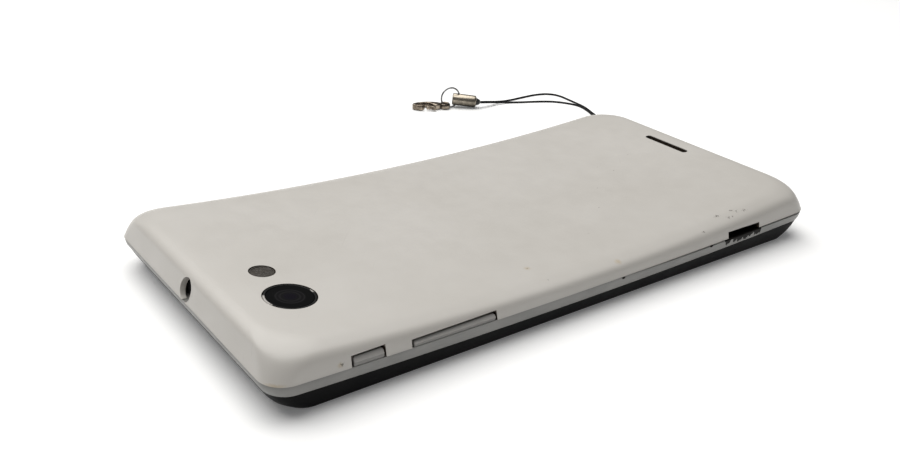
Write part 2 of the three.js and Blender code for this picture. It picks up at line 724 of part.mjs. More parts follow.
const meshThickness = 0.3;
const meshSize = [speakerSlotLength + 2 * meshLedge.side, speakerSlotWidth + 2 * meshLedge.end];
const meshNear = Math.abs(speakerPlace[1]) - meshSize[1] / 2;
const meshTop = archedHeight(backHeight - coverWall, meshNear) - slimGap;
addPiece('speaker_mesh', slab(speakerPlace, meshSize, meshTop - meshThickness, meshTop), darkPlastic);

// ---- strap ----
const cordRadius = 0.25;
const strandA = [[25.75, -57.1, 5.7], [28.1, -59.7, 5.65], [30.4, -62.05, 5.4], [33.25, -65.15, 4.3],
  [37.25, -69.05, 2.8], [41.45, -72.55, 1.4], [45.35, -75.35, 0.6], [50.37, -77.62, 0.3], [55.0, -79.2, 0.27],
  [58.37, -79.61, 0.27], [62.44, -79.85, 0.27], [65.8, -79.96, 0.27], [68.4, -79.16, 0.27],
  [70.05, -77.11, 0.27], [70.73, -73.84, 0.27], [70.66, -69.59, 0.27], [70.4, -65.42, 0.27],
  [70.41, -62.32, 0.32], [70.36, -59.33, 0.62], [70.05, -56.03, 1.2], [69.87, -53.4, 1.62]];
const strandB = [[26.4, -56.5, 5.7], [28.7, -59.1, 5.65], [30.9, -61.55, 5.4], [33.75, -64.65, 4.3],
  [37.75, -68.55, 2.8], [41.95, -72.05, 1.4], [45.85, -74.85, 0.6], [50.32, -77.0, 0.3], [54.64, -78.37, 0.27],
  [57.4, -78.4, 0.27], [59.64, -77.48, 0.27], [61.66, -76.14, 0.27], [63.42, -74.36, 0.27],
  [64.82, -72.07, 0.27], [66.15, -69.1, 0.27], [67.5, -65.79, 0.27], [68.77, -62.9, 0.3],
  [69.4, -60.11, 0.52], [69.4, -56.95, 1.02], [69.28, -52.9, 1.63]];
const points = (list) => list.map((point) => new THREE.Vector3(...point));
function cordTube(route, radius, steps) {
  const path = new THREE.CatmullRomCurve3(points(route), false, 'centripetal');
  const section = new THREE.Shape();
  section.absarc(0, 0, radius, 0, 2 * Math.PI);
  const options = { steps, extrudePath: path, curveSegments: 4, bevelEnabled: false };
  return solid(new THREE.ExtrudeGeometry(section, options));
}
const strandSteps = 44;
addPiece('strap_strand_a', cordTube(strandA, cordRadius, strandSteps), blackCord);
addPiece('strap_strand_b', cordTube(strandB, cordRadius, strandSteps), blackCord);

// A ring is a circle turned about its own axis; it is made flat and then set in its plane.
function ring(radius, wire, rings = 24, sides = 6) {
  const profile = [];
  for (let i = 0; i <= sides; i += 1) {
    const angle = (i / sides) * 2 * Math.PI;
    profile.push(new THREE.Vector2(radius + wire * Math.cos(angle), wire * Math.sin(angle)));
  }
  const geometry = new THREE.LatheGeometry(profile, rings);
  geometry.rotateX(Math.PI / 2);
  return geometry;
}
const hitch = ring(strapPostRadius + cordRadius + slimGap, cordRadius, 16);
hitch.translate(strapPost[0], strapPost[1], strapExitHeight);
addPiece('strap_hitch', solid(hitch), blackCord);

// The ferrule, the ring and the clasp lie on the surface, each in a direction of its own.
const degrees = Math.PI / 180;
const ferruleLine = 53 * degrees;
const ringLine = 80 * degrees;
const claspLine = 66 * degrees;
const step = ([x, y], line, distance) => [x + distance * Math.cos(line), y + distance * Math.sin(line)];
function laid(geometry, line, [x, y], height) {
  geometry.rotateZ(line);
  geometry.translate(x, y, height);
  return geometry;
}
const ferruleStart = [69.6, -52.9];
const ferruleLength = 7.7;
const ferruleRadius = 1.65;
const ferruleNeck = { length: 1.1, tip: 0.65, root: 1.1 };
const ferruleRound = 0.3;
const ferruleTilt = 4.7 * degrees;
const ferruleProfile = [[0, 0], [ferruleNeck.tip, 0], [ferruleNeck.root, ferruleNeck.length],
  [ferruleRadius - ferruleRound, ferruleNeck.length], [ferruleRadius, ferruleNeck.length + ferruleRound],
  [ferruleRadius, ferruleLength - ferruleRound], [ferruleRadius - ferruleRound, ferruleLength],
  [0, ferruleLength]];
const ferruleBody = new THREE.LatheGeometry(ferruleProfile.map(([r, h]) => new THREE.Vector2(r, h)), 20);
ferruleBody.rotateZ(-Math.PI / 2);
ferruleBody.rotateY(-ferruleTilt);
const wireRadius = 0.23;
const ringRadius = 2.75;
const wireClear = wireRadius + 0.22;
const ringHeight = ringRadius + wireRadius + hairGap;
const eyeDepth = 1.8;
const ringReach = ringRadius - 0.13;
const ringCentre = step(step(ferruleStart, ferruleLine, ferruleLength - eyeDepth), ringLine, ringReach);
const standing = (geometry) => laid(geometry.rotateX(Math.PI / 2), ringLine, ringCentre, ringHeight);
const ringBody = solid(standing(ring(ringRadius, wireRadius, 28)));
const ringPath = solid(standing(ring(ringRadius, wireClear, 28)));
const ferruleHeight = ferruleRadius + hairGap;
const ferrule = cut(solid(laid(ferruleBody, ferruleLine, ferruleStart, ferruleHeight)), ringPath);
addPiece('strap_ferrule', ferrule, champagneMetal);
addPiece('strap_ring', ringBody, steel);

// The clasp lies flat: its eye is round the ring, its hook points away, its lever closes the hook.
const claspThickness = 1.5;
const claspEyeRadius = 1.5;
const claspHole = 0.85;
const claspStart = step(ringCentre, ringLine, 1.65);
const claspHeight = 0.08;
// The rim and the mouth of the hook are parts of two ellipses, each with a centre, two radii and two turns.
const hookRim = [5.0, 0, 4.1, 1.95, -0.85 * Math.PI, 0.36 * Math.PI];
const hookMouth = [5.2, 0, 2.9, 1.05, 0.3 * Math.PI, -0.62 * Math.PI];
const hookTip = [5.7, 1.0];
const hookBack = [[2.9, 1.55], [1.4, 0.85], [1.0, -0.7]];
function claspOutline() {
  const shape = new THREE.Shape();
  shape.absellipse(...hookRim, false);
  shape.lineTo(...hookTip);
  shape.absellipse(...hookMouth, true);
  hookBack.forEach((place) => shape.lineTo(...place));
  shape.closePath();
  return shape;
}
const claspOptions = { depth: claspThickness, bevelEnabled: false, curveSegments: 6 };
const flat = (geometry, lift = 0) => solid(laid(geometry, claspLine, claspStart, claspHeight + lift));
function eyeDisc(radius, thickness) {
  const geometry = new THREE.CylinderGeometry(radius, radius, thickness, 18);
  geometry.rotateX(Math.PI / 2);
  geometry.translate(0, 0, claspThickness / 2);
  return flat(geometry);
}
const claspBody = cut(
  join(flat(new THREE.ExtrudeGeometry(claspOutline(), claspOptions)), eyeDisc(claspEyeRadius, claspThickness)),
  eyeDisc(claspHole, claspThickness + cutMargin),
  ringPath,
);
addPiece('clasp_body', claspBody, champagneMetal);
const leverEdge = [[3.6, 1.15], [5.35, 1.15], [5.5, 1.75], [3.9, 1.95],
  [3.5, 2.7], [2.9, 2.6], [3.05, 1.75], [3.4, 1.7]];
const leverInset = 0.25;
const leverOptions = { depth: claspThickness - 2 * leverInset, bevelEnabled: false };
const leverShape = new THREE.Shape(leverEdge.map(([x, y]) => new THREE.Vector2(x, y)));
addPiece('clasp_lever', flat(new THREE.ExtrudeGeometry(leverShape, leverOptions), leverInset), champagneMetal);

export default group;
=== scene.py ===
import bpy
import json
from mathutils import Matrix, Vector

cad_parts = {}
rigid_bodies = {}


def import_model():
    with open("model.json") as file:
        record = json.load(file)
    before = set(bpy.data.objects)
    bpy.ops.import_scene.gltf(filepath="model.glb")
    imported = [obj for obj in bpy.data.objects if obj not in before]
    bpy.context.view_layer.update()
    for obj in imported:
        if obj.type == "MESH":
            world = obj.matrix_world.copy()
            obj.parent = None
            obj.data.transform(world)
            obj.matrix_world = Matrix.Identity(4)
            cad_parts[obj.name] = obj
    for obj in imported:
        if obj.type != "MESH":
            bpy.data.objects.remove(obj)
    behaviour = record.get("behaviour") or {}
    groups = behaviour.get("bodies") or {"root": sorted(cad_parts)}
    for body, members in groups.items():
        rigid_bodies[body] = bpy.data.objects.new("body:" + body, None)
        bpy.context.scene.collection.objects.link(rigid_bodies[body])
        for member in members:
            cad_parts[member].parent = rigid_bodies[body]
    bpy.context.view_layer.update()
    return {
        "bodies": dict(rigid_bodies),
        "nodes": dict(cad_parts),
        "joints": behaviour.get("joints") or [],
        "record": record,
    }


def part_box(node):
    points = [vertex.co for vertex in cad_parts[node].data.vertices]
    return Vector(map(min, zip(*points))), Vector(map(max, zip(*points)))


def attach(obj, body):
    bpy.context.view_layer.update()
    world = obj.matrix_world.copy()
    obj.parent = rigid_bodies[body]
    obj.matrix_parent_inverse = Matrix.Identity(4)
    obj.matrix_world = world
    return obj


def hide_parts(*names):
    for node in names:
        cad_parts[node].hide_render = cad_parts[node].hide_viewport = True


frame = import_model()

import json
import math
import bmesh
import bpy
from mathutils import Matrix, Vector

# A smartphone lying face down, with a clasp strap from its far corner.
# Lengths in the dictionaries are millimetres; everything built is in metres.

unit = 0.001
scene = bpy.context.scene


def mm(*values):
    scaled = [value * unit for value in values]
    return scaled[0] if len(scaled) == 1 else Vector(scaled)


# The body's outline and its arch: each level rises towards both ends by its own amount.
body = {
    "length": 123.1, "width": 61.2, "corner": 4.2, "shoulderCorner": 7.6, "frontCorner": 3.7,
    "arch": [(0, 0), (0.3, 0), (2.86, 1.2), (5.0, 0.85), (7.85, 3.34)],
    "frameHollow": (55.6, 114.5), "frameTray": (58.2, 117.1), "batteryWell": (44.6, 50.6),
    "frontEdge": 0.3, "black": 2.86, "seam": 5.0, "back": 7.85, "seamGap": 0.25,
}


def riseOf(height):
    arch = body["arch"]
    if height >= arch[-1][0]:
        return arch[-1][1]
    for (low, lowRise), (high, highRise) in zip(arch, arch[1:]):
        if height < high:
            share = (height - low) / (high - low)
            return lowRise + share * (highRise - lowRise)


def archedHeight(height, y):
    return height + riseOf(height) * (2 * y / body["length"]) ** 2


view = {"place": (-133.4, 109.91, 84.97), "turn": -37.28, "down": 25.43, "roll": 2.71, "focal": 38.914}


def makeCamera():
    turn, down = math.radians(view["turn"]), math.radians(view["down"])
    forward = Vector((math.cos(down) * math.cos(turn), math.cos(down) * math.sin(turn), -math.sin(down)))
    data = bpy.data.cameras.new("viewCamera")
    data.lens = view["focal"]
    data.sensor_width = 36
    data.clip_start = 0.01
    camera = bpy.data.objects.new("viewCamera", data)
    scene.collection.objects.link(camera)
    roll = Matrix.Rotation(math.radians(view["roll"]), 4, "Z")
    aim = forward.to_track_quat("-Z", "Y").to_matrix().to_4x4()
    camera.matrix_world = Matrix.Translation(mm(*view["place"])) @ aim @ roll
    scene.camera = camera


def makeLight(name, place, aim, size, power, color):
    data = bpy.data.lights.new(name, "AREA")
    data.shape = "RECTANGLE"
    data.size, data.size_y = size
    data.energy = power
    data.color = color
    light = bpy.data.objects.new(name, data)
    scene.collection.objects.link(light)
    light.location = place
    light.rotation_euler = (Vector(aim) - Vector(place)).to_track_quat("-Z", "Y").to_euler()


def makeStudio():
    world = bpy.data.worlds.new("studio")
    world.use_nodes = True
    world.node_tree.nodes["Background"].inputs["Color"].default_value = (0.96, 0.98, 1.0, 1)
    world.node_tree.nodes["Background"].inputs["Strength"].default_value = 0.15
    scene.world = world
    makeLight("topSoftbox", (0.22, 0.05, 0.62), (0, 0, 0), (0.9, 0.9), 7.6, (1.0, 0.99, 0.97))
    scene.view_settings.view_transform = "Standard"
    floor = bpy.data.meshes.new("floor")
    bm = bmesh.new()
    bmesh.ops.create_grid(bm, x_segments=1, y_segments=1, size=3)
    bm.to_mesh(floor)
    bm.free()
    floorObject = bpy.data.objects.new("floor", floor)
    scene.collection.objects.link(floorObject)
    floorObject.data.materials.append(floorMaterial())


class Nodes:
    def __init__(self, name):
        self.material = bpy.data.materials.new(name)
        self.material.use_nodes = True
        self.tree = self.material.node_tree
        self.shader = self.tree.nodes["Principled BSDF"]
        self.place = self.add("ShaderNodeTexCoord").outputs["Object"]

    def add(self, kind, inputs=None, **settings):
        node = self.tree.nodes.new(kind)
        for key, value in settings.items():
            setattr(node, key, value)
        for key, value in (inputs or {}).items():
            self.feed(node.inputs[key], value)
        return node

    def feed(self, socket, value):
        if isinstance(value, bpy.types.NodeSocket):
            self.tree.links.new(value, socket)
        else:
            socket.default_value = value

    def set(self, **values):
        for key, value in values.items():
            self.feed(self.shader.inputs[key.replace("_", " ")], value)

    def math(self, operation, a, b=0.0, clamp=False):
        return self.add("ShaderNodeMath", {0: a, 1: b}, operation=operation, use_clamp=clamp).outputs[0]

    def noise(self, scale, detail=3.0, rough=0.5, place=None):
        inputs = {"Vector": place or self.place, "Scale": scale, "Detail": detail, "Roughness": rough}
        return self.add("ShaderNodeTexNoise", inputs).outputs["Fac"]

    def span(self, value, low, high, toLow=0.0, toHigh=1.0):
        inputs = {"Value": value, "From Min": low, "From Max": high, "To Min": toLow, "To Max": toHigh}
        return self.add("ShaderNodeMapRange", inputs, clamp=True).outputs["Result"]

    def mix(self, amount, a, b):
        node = self.add("ShaderNodeMix", data_type="RGBA")
        self.feed(node.inputs["Factor"], amount)
        self.feed(node.inputs["A"], a)
        self.feed(node.inputs["B"], b)
        return node.outputs["Result"]

    def bump(self, height, strength, distance):
        inputs = {"Height": height, "Strength": strength, "Distance": distance}
        self.feed(self.shader.inputs["Normal"], self.add("ShaderNodeBump", inputs).outputs["Normal"])

    # One inside a box given in millimetres, nought outside it.
    def within(self, low, high):
        axes = self.add("ShaderNodeSeparateXYZ", {"Vector": self.place}).outputs
        inside = 1.0
        for axis, near, far in zip("XYZ", low, high):
            inside = self.math("MULTIPLY", inside, self.math("GREATER_THAN", axes[axis], mm(near)))
            inside = self.math("MULTIPLY", inside, self.math("LESS_THAN", axes[axis], mm(far)))
        return inside

    def spot(self, centre, radii):
        moved = self.add("ShaderNodeVectorMath", {0: self.place, 1: centre}, operation="SUBTRACT").outputs[0]
        scaled = self.add("ShaderNodeVectorMath", {0: moved, 1: radii}, operation="DIVIDE").outputs[0]
        return self.add("ShaderNodeVectorMath", {0: scaled}, operation="LENGTH").outputs["Value"]


def color(red, green, blue):
    return (red, green, blue, 1.0)


def floorMaterial():
    n = Nodes("paleFloor")
    tone = n.span(n.noise(3.0), 0.3, 0.7, 0.0, 1.0)
    n.set(Base_Color=n.mix(tone, color(0.92, 0.92, 0.92), color(0.94, 0.94, 0.94)), Roughness=0.7)
    n.set(Emission_Color=color(1.0, 1.0, 1.0), Emission_Strength=0.1)
    return n.material


# Moulded plastic: a base colour with faint mottling, fine texture and a little unevenness in its gloss.
def plasticMaterial(name, base, dark, rough, grain=9000, depth=0.000012, metallic=0.0, shine=0.5):
    n = Nodes(name)
    cloud = n.span(n.noise(160, 4), 0.35, 0.65)
    n.set(Base_Color=n.mix(cloud, color(*dark), color(*base)), Metallic=metallic, Specular_IOR_Level=shine)
    n.set(Roughness=n.span(n.noise(420, 3), 0.3, 0.7, rough - 0.05, rough + 0.06))
    n.bump(n.noise(grain, 2), 0.25, depth)
    return n.material


# The grey band, with painted shade running down from the fingernail notch and a few dark marks along the
# seam.
def greyMaterial():
    n = Nodes("greyBand")
    axes = n.add("ShaderNodeSeparateXYZ", {"Vector": n.place}).outputs
    cloud = n.span(n.noise(160, 4), 0.35, 0.65)
    tone = n.mix(cloud, color(0.215, 0.213, 0.203), color(0.255, 0.250, 0.238))
    pryFrom, pryTo, pryHigh = cover["pry"]
    seamAt = archedHeight(body["seam"], pryTo)
    # Painted shade just below the seam under the fingernail notch, with a ragged lower edge.
    below = n.math("SUBTRACT", mm(seamAt), axes["Z"])
    stretched = n.add("ShaderNodeMapping", {"Vector": n.place, "Scale": (60, 900, 60)}).outputs["Vector"]
    shadeDepth = n.span(n.noise(1.0, 3, 0.6, place=stretched), 0.36, 0.60, mm(0.35), mm(1.5))
    nearNotch = n.within((-33, pryFrom - 0.9, 3), (-20, pryTo + 0.9, 9))
    paintedDark = n.math("MULTIPLY", n.math("LESS_THAN", below, shadeDepth), nearNotch)
    for y in (-7.6, -31.2):
        away = n.spot(mm(-30.5, y, archedHeight(body["seam"], y) - 0.2), mm(1, 0.5, 0.3))
        paintedDark = n.math("MAXIMUM", paintedDark, n.span(away, 0.6, 1.0, 1.0, 0.0))
    n.set(Base_Color=n.mix(paintedDark, tone, color(0.010, 0.009, 0.008)))
    n.set(Roughness=n.span(n.noise(420, 3), 0.3, 0.7, 0.33, 0.44))
    n.set(Specular_IOR_Level=n.span(paintedDark, 0, 1, 0.5, 0.05))
    n.bump(n.noise(6000, 2), 0.25, 0.000012)
    return n.material


# Silver-grey key paint, with painted shade on the faces that lean down and painted light on the faces that
# look up.
def keyMaterial():
    n = Nodes("silverKey")
    facing = n.add("ShaderNodeNewGeometry").outputs["Normal"]
    lean = n.add("ShaderNodeSeparateXYZ", {"Vector": facing}).outputs["Z"]
    cloud = n.span(n.noise(160, 4), 0.35, 0.65, 0.0, 0.15)
    # Painted light on faces turned up, painted shade on faces turned down.
    upper = n.math("SUBTRACT", n.span(lean, 0.0, 0.25), cloud, True)
    n.set(Base_Color=n.mix(upper, color(0.20, 0.195, 0.185), color(0.42, 0.405, 0.385)), Metallic=0.15)
    n.set(Roughness=n.span(n.noise(420, 3), 0.3, 0.7, 0.30, 0.40))
    return n.material


# The black camera ring, worn to metal in a crescent on one side and a nick on the other, both painted pale as
# painted highlights for their glint.
def ringMaterial():
    n = Nodes("ringWithPaintedGlint")
    x, y = cover["camera"]
    ragged = n.span(n.noise(2500, 3), 0.2, 0.8, -0.3, 0.3)
    crescent = n.math("ADD", n.spot(mm(x + 0.6, y + 4.1, 10.3), mm(2.4, 0.75, 2.4)), ragged)
    nick = n.math("ADD", n.spot(mm(x + 0.4, y - 4.2, 9.6), mm(0.7, 0.4, 1.5)), ragged)
    # The crescent and the nick carry painted highlights as well as the wear.
    wornGlint = n.math("MAXIMUM", n.span(crescent, 0.7, 1.0, 1.0, 0.0), n.span(nick, 0.6, 1.0, 1.0, 0.0))
    n.set(Base_Color=n.mix(wornGlint, color(0.006, 0.006, 0.006), color(0.42, 0.40, 0.38)))
    n.set(Metallic=n.math("MULTIPLY", wornGlint, 0.4))
    n.set(Roughness=n.span(n.noise(900, 3), 0.3, 0.7, 0.4, 0.55), Specular_IOR_Level=0.12)
    return n.material


# The ferrule's plating, with painted light along the top and painted shade below.
def ferruleMaterial():
    n = Nodes("plateWithPaintedShade")
    height = n.add("ShaderNodeSeparateXYZ", {"Vector": n.place}).outputs["Z"]
    mottle = n.span(n.noise(900, 3), 0.3, 0.7, -0.0004, 0.0004)
    # Painted shade towards the bottom, painted light towards the top, with a ragged line between.
    low = n.span(n.math("ADD", height, mottle), 0.0008, 0.0026)
    n.set(Base_Color=n.mix(low, color(0.05, 0.043, 0.035), color(0.36, 0.32, 0.26)), Metallic=1.0)
    n.set(Roughness=n.span(n.noise(1500, 2), 0.3, 0.7, 0.24, 0.38))
    return n.material


# Metal with fine brush lines along one axis and rubbed patches.
def metalMaterial(name, base, dark, rough, stretch=(4000, 300, 300), metallic=1.0):
    n = Nodes(name)
    lines = n.add("ShaderNodeMapping", {"Vector": n.place, "Scale": stretch}).outputs["Vector"]
    brushed = n.noise(1.0, 2, 0.6, place=lines)
    mottle = n.span(n.noise(700, 3), 0.4, 0.6)
    n.set(Base_Color=n.mix(mottle, color(*dark), color(*base)), Metallic=metallic)
    n.set(Roughness=n.span(brushed, 0.3, 0.7, rough - 0.08, rough + 0.1))
    n.bump(brushed, 0.2, 0.00001)
    return n.material


# The cover's wear: small dark nicks with a place, a width and a length, rubbed yellow patches with a place,
# a width and a height, and the middle of a longer scratch.
wear = {
    "nicks": [
        (-27.1, -35.9, 8.9, 0.45, 0.7), (-27.0, -40.1, 9.1, 0.4, 0.6), (-27.7, -40.9, 9.0, 0.4, 0.5),
        (-28.4, -37.8, 8.6, 0.4, 0.6), (-28.5, -38.9, 8.6, 0.3, 0.4), (-28.2, -42.7, 9.0, 0.4, 0.6),
        (-29.3, -29.7, 7.9, 0.3, 0.4), (3.8, -33.6, 8.9, 0.22, 0.3), (0.5, -35.1, 8.9, 0.18, 0.2),
        (4.7, -43.7, 9.6, 0.2, 0.25), (-4.1, -26.1, 8.5, 0.18, 0.2), (-11.0, -19.9, 8.2, 0.18, 0.2),
        (-18.3, -10.3, 8.0, 0.2, 0.25), (14.6, -31.7, 8.8, 0.2, 0.2), (-30.4, 49.8, 6.8, 0.35, 0.4),
        (-23.1, 8.9, 8.0, 0.18, 0.2), (-27.9, 8.3, 7.7, 0.22, 0.25),
    ],
    "yellowed": [
        (-28.9, -7.4, 7.4, 0.7, 0.6), (-29.4, 60.3, 6.1, 1.6, 0.35), (-30.4, 50.2, 6.7, 0.5, 0.5),
        (-23.1, 8.9, 8.0, 0.6, 0.4),
    ],
    "scratch": (-0.8, -19.9, 8.2),
}


def shellMaterial():
    n = Nodes("wornWhiteShell")
    cloud = n.span(n.noise(60, 4), 0.3, 0.7)
    tone = n.mix(cloud, color(0.488, 0.466, 0.432), color(0.518, 0.497, 0.466))
    ragged = n.span(n.noise(3200, 3, 0.7), 0.35, 0.65, -0.9, 0.9)
    nicked = 0.0
    for x, y, z, wide, long in wear["nicks"]:
        reach = n.math("ADD", n.spot(mm(x, y, z), mm(wide, long, wide)), ragged)
        nicked = n.math("MAXIMUM", nicked, n.span(reach, 0.2, 0.6, 1.0, 0.0))
    yellow = 0.0
    for x, y, z, wide, tall in wear["yellowed"]:
        reach = n.math("ADD", n.spot(mm(x, y, z), mm(wide, wide, tall)), n.math("MULTIPLY", ragged, 0.3))
        yellow = n.math("MAXIMUM", yellow, n.span(reach, 0.3, 1.2, 1.0, 0.0))
    slant = {"Vector": n.place, "Rotation": (0, 0, 0.7)}
    slanted = n.add("ShaderNodeMapping", slant, vector_type="POINT").outputs["Vector"]
    lines = n.add("ShaderNodeMapping", {"Vector": slanted, "Scale": (90, 2600, 90)}).outputs["Vector"]
    hair = n.span(n.noise(1.0, 2, 0.5, place=lines), 0.70, 0.74)
    patch = n.span(n.noise(45, 2), 0.50, 0.60)
    scratched = n.math("MULTIPLY", hair, patch)
    scuffed = n.span(n.spot(mm(*wear["scratch"]), mm(4.5, 3.0, 3.0)), 0.4, 1.0, 1.0, 0.0)
    scratched = n.math("MAXIMUM", n.math("MULTIPLY", scratched, 0.4), n.math("MULTIPLY", hair, scuffed))
    tone = n.mix(n.math("MULTIPLY", yellow, 0.55), tone, color(0.42, 0.33, 0.20))
    tone = n.mix(n.math("MULTIPLY", scratched, 0.30), tone, color(0.30, 0.28, 0.26))
    tone = n.mix(n.math("MULTIPLY", nicked, 0.85), tone, color(0.11, 0.10, 0.085))
    # The walls inside the openings get painted shade, dark brown with flecks.
    flecks = n.span(n.noise(2400, 3, 0.7), 0.5, 0.65)
    tone = n.mix(cutFaces(n), tone, n.mix(flecks, color(0.022, 0.016, 0.011), color(0.085, 0.058, 0.038)))
    n.set(Base_Color=tone, Coat_Weight=0.12, Coat_Roughness=0.25)
    rough = n.span(n.noise(300, 3), 0.3, 0.7, 0.36, 0.46)
    n.set(Roughness=n.math("ADD", rough, n.math("MULTIPLY", scratched, 0.2)))
    grain = n.math("MULTIPLY", n.noise(7000, 2), 0.3)
    n.bump(n.math("SUBTRACT", grain, nicked), 0.3, 0.00004)
    return n.material


# Painted shade on the walls of the holes and notches: the faces that look across the shell inside each
# opening.
def cutFaces(n):
    half = body["width"] / 2
    openings = []
    for start, end, top in (cover["powerKey"], cover["volumeKey"]):
        openings.append(((-half - 0.2, start - 0.03, 4), (-half + 3.1, end + 0.03, top + 0.03)))
    pryFrom, pryTo, pryHigh = cover["pry"]
    pryTop = archedHeight(body["seam"] + 0.12, pryFrom) + pryHigh
    openings.append(((-half - 0.2, pryFrom - 0.03, 4), (-half + 3.1, pryTo + 0.03, pryTop + 0.03)))
    x, y = cover["speaker"]
    wide, high = (size / 2 + 0.03 for size in cover["speakerSize"])
    openings.append(((x - wide, y - high, 5), (x + wide, y + high, 10.4)))
    paintedDark = 0.0
    for low, high in openings:
        paintedDark = n.math("MAXIMUM", paintedDark, n.within(low, high))
    for name in ("camera", "flash"):
        x, y = cover[name]
        away = n.spot(mm(x, y, 9), mm(1, 1, 1e6))
        paintedDark = n.math("MAXIMUM", paintedDark, n.math("LESS_THAN", away, cover[name + "Radius"] + 0.03))
    return paintedDark


def glassMaterial(name, base, rough=0.06):
    n = Nodes(name)
    smear = n.span(n.noise(70, 3), 0.45, 0.7)
    n.set(Base_Color=n.mix(smear, color(*base), color(*[part * 1.6 + 0.002 for part in base])))
    n.set(Roughness=n.span(smear, 0, 1, rough, rough + 0.1), Specular_IOR_Level=0.4, IOR=1.5)
    n.bump(n.noise(120, 2), 0.03, 0.00001)
    return n.material


# The lens cover: black paint round a clear middle, through which the rings of the lens show.
def lensMaterial(centre):
    n = Nodes("lensGlass")
    away = n.spot(mm(centre[0], centre[1], 0), mm(1, 1, 1e6))
    rings = n.math("SINE", n.math("MULTIPLY", away, 9.0))
    inside = n.span(away, 2.3, 2.5, 1.0, 0.0)
    pupil = n.span(away, 0.9, 1.2, 1.0, 0.0)
    shown = n.math("MULTIPLY", inside, n.span(rings, -1, 1, 0.2, 0.9))
    tone = n.mix(shown, color(0.004, 0.004, 0.004), color(0.013, 0.012, 0.013))
    tone = n.mix(pupil, tone, color(0.006, 0.005, 0.008))
    n.set(Base_Color=tone, Roughness=n.span(n.noise(500, 3), 0.3, 0.7, 0.08, 0.16), Specular_IOR_Level=0.05)
    return n.material


def smokedMaterial():
    n = Nodes("smokedWindow")
    cells = n.add("ShaderNodeTexVoronoi", {"Vector": n.place, "Scale": 2600}).outputs["Distance"]
    tone = n.mix(n.span(cells, 0.1, 0.7), color(0.030, 0.026, 0.022), color(0.060, 0.052, 0.044))
    n.set(Base_Color=tone, Roughness=n.span(n.noise(900, 2), 0.3, 0.7, 0.18, 0.3), Specular_IOR_Level=0.25)
    n.bump(cells, 0.4, 0.00006)
    return n.material


# Braided cord: two families of strands crossing round the cord, from its own UV map.
def cordMaterial():
    n = Nodes("blackBraid")
    uv = n.add("ShaderNodeUVMap", uv_map="braid").outputs["UV"]
    parts = n.add("ShaderNodeSeparateXYZ", {"Vector": uv}).outputs
    left = n.math("SINE", n.math("ADD", n.math("MULTIPLY", parts["X"], 2 * math.pi * 3), parts["Y"]))
    right = n.math("SINE", n.math("SUBTRACT", n.math("MULTIPLY", parts["X"], 2 * math.pi * 3), parts["Y"]))
    weave = n.span(n.math("MAXIMUM", left, right), 0.0, 1.0)
    n.set(Base_Color=n.mix(weave, color(0.003, 0.003, 0.003), color(0.010, 0.010, 0.011)))
    n.set(Roughness=n.span(n.noise(3000, 2), 0.3, 0.7, 0.6, 0.8), Specular_IOR_Level=0.2)
    n.bump(weave, 0.5, 0.00006)
    return n.material


def boardMaterial():
    n = Nodes("solderMask")
    traces = n.add("ShaderNodeTexBrick", {"Vector": n.place, "Scale": 900, "Mortar Size": 0.03}, offset=0.5)
    fine = n.span(traces.outputs["Fac"], 0.2, 0.8)
    tone = n.mix(fine, color(0.008, 0.045, 0.028), color(0.02, 0.10, 0.06))
    pads = n.add("ShaderNodeTexVoronoi", {"Vector": n.place, "Scale": 700}).outputs["Distance"]
    pad = n.span(pads, 0.10, 0.14, 1.0, 0.0)
    n.set(Base_Color=n.mix(pad, tone, color(0.70, 0.60, 0.38)), Metallic=pad, Roughness=0.35)
    n.bump(n.math("ADD", fine, pad), 0.2, 0.00003)
    return n.material


# The battery's wrap: a dark label with a lighter band and plain rules, no lettering.
def wrapMaterial(box):
    n = Nodes("batteryWrap")
    low, high = box
    parts = n.add("ShaderNodeSeparateXYZ", {"Vector": n.place}).outputs
    aboveBand = n.math("GREATER_THAN", parts["Y"], high[1] - 0.016)
    band = n.math("MULTIPLY", aboveBand, n.math("LESS_THAN", parts["Y"], high[1] - 0.004))
    lines = n.math("FRACT", n.math("MULTIPLY", parts["Y"], 400))
    ruled = n.math("GREATER_THAN", lines, 0.88)
    inLines = n.math("MULTIPLY", ruled, n.math("LESS_THAN", parts["Y"], high[1] - 0.020))
    inLines = n.math("MULTIPLY", inLines, n.math("GREATER_THAN", parts["Y"], low[1] + 0.008))
    inLines = n.math("MULTIPLY", inLines, n.math("LESS_THAN", n.math("ABSOLUTE", parts["X"]), 0.017))
    tone = n.mix(n.span(n.noise(300, 3), 0.3, 0.7), color(0.028, 0.029, 0.032), color(0.04, 0.041, 0.045))
    tone = n.mix(band, tone, color(0.33, 0.34, 0.35))
    tone = n.mix(n.math("MULTIPLY", inLines, 0.5), tone, color(0.30, 0.30, 0.31))
    n.set(Base_Color=tone, Roughness=n.span(n.noise(500, 3), 0.3, 0.7, 0.32, 0.45), Coat_Weight=0.2)
    n.bump(n.noise(1500, 2), 0.15, 0.00002)
    return n.material


def meshMaterial():
    n = Nodes("speakerCloth")
    parts = n.add("ShaderNodeSeparateXYZ", {"Vector": n.place}).outputs
    across = n.math("SINE", n.math("MULTIPLY", parts["X"], 2 * math.pi / 0.00032))
    along = n.math("SINE", n.math("MULTIPLY", parts["Y"], 2 * math.pi / 0.00032))
    weave = n.span(n.math("MULTIPLY", across, along), -0.6, 0.6)
    n.set(Base_Color=n.mix(weave, color(0.010, 0.007, 0.005), color(0.085, 0.055, 0.035)))
    n.set(Roughness=n.span(n.noise(2000, 2), 0.3, 0.7, 0.5, 0.7), Metallic=0.3)
    n.bump(weave, 0.6, 0.00008)
    return n.material


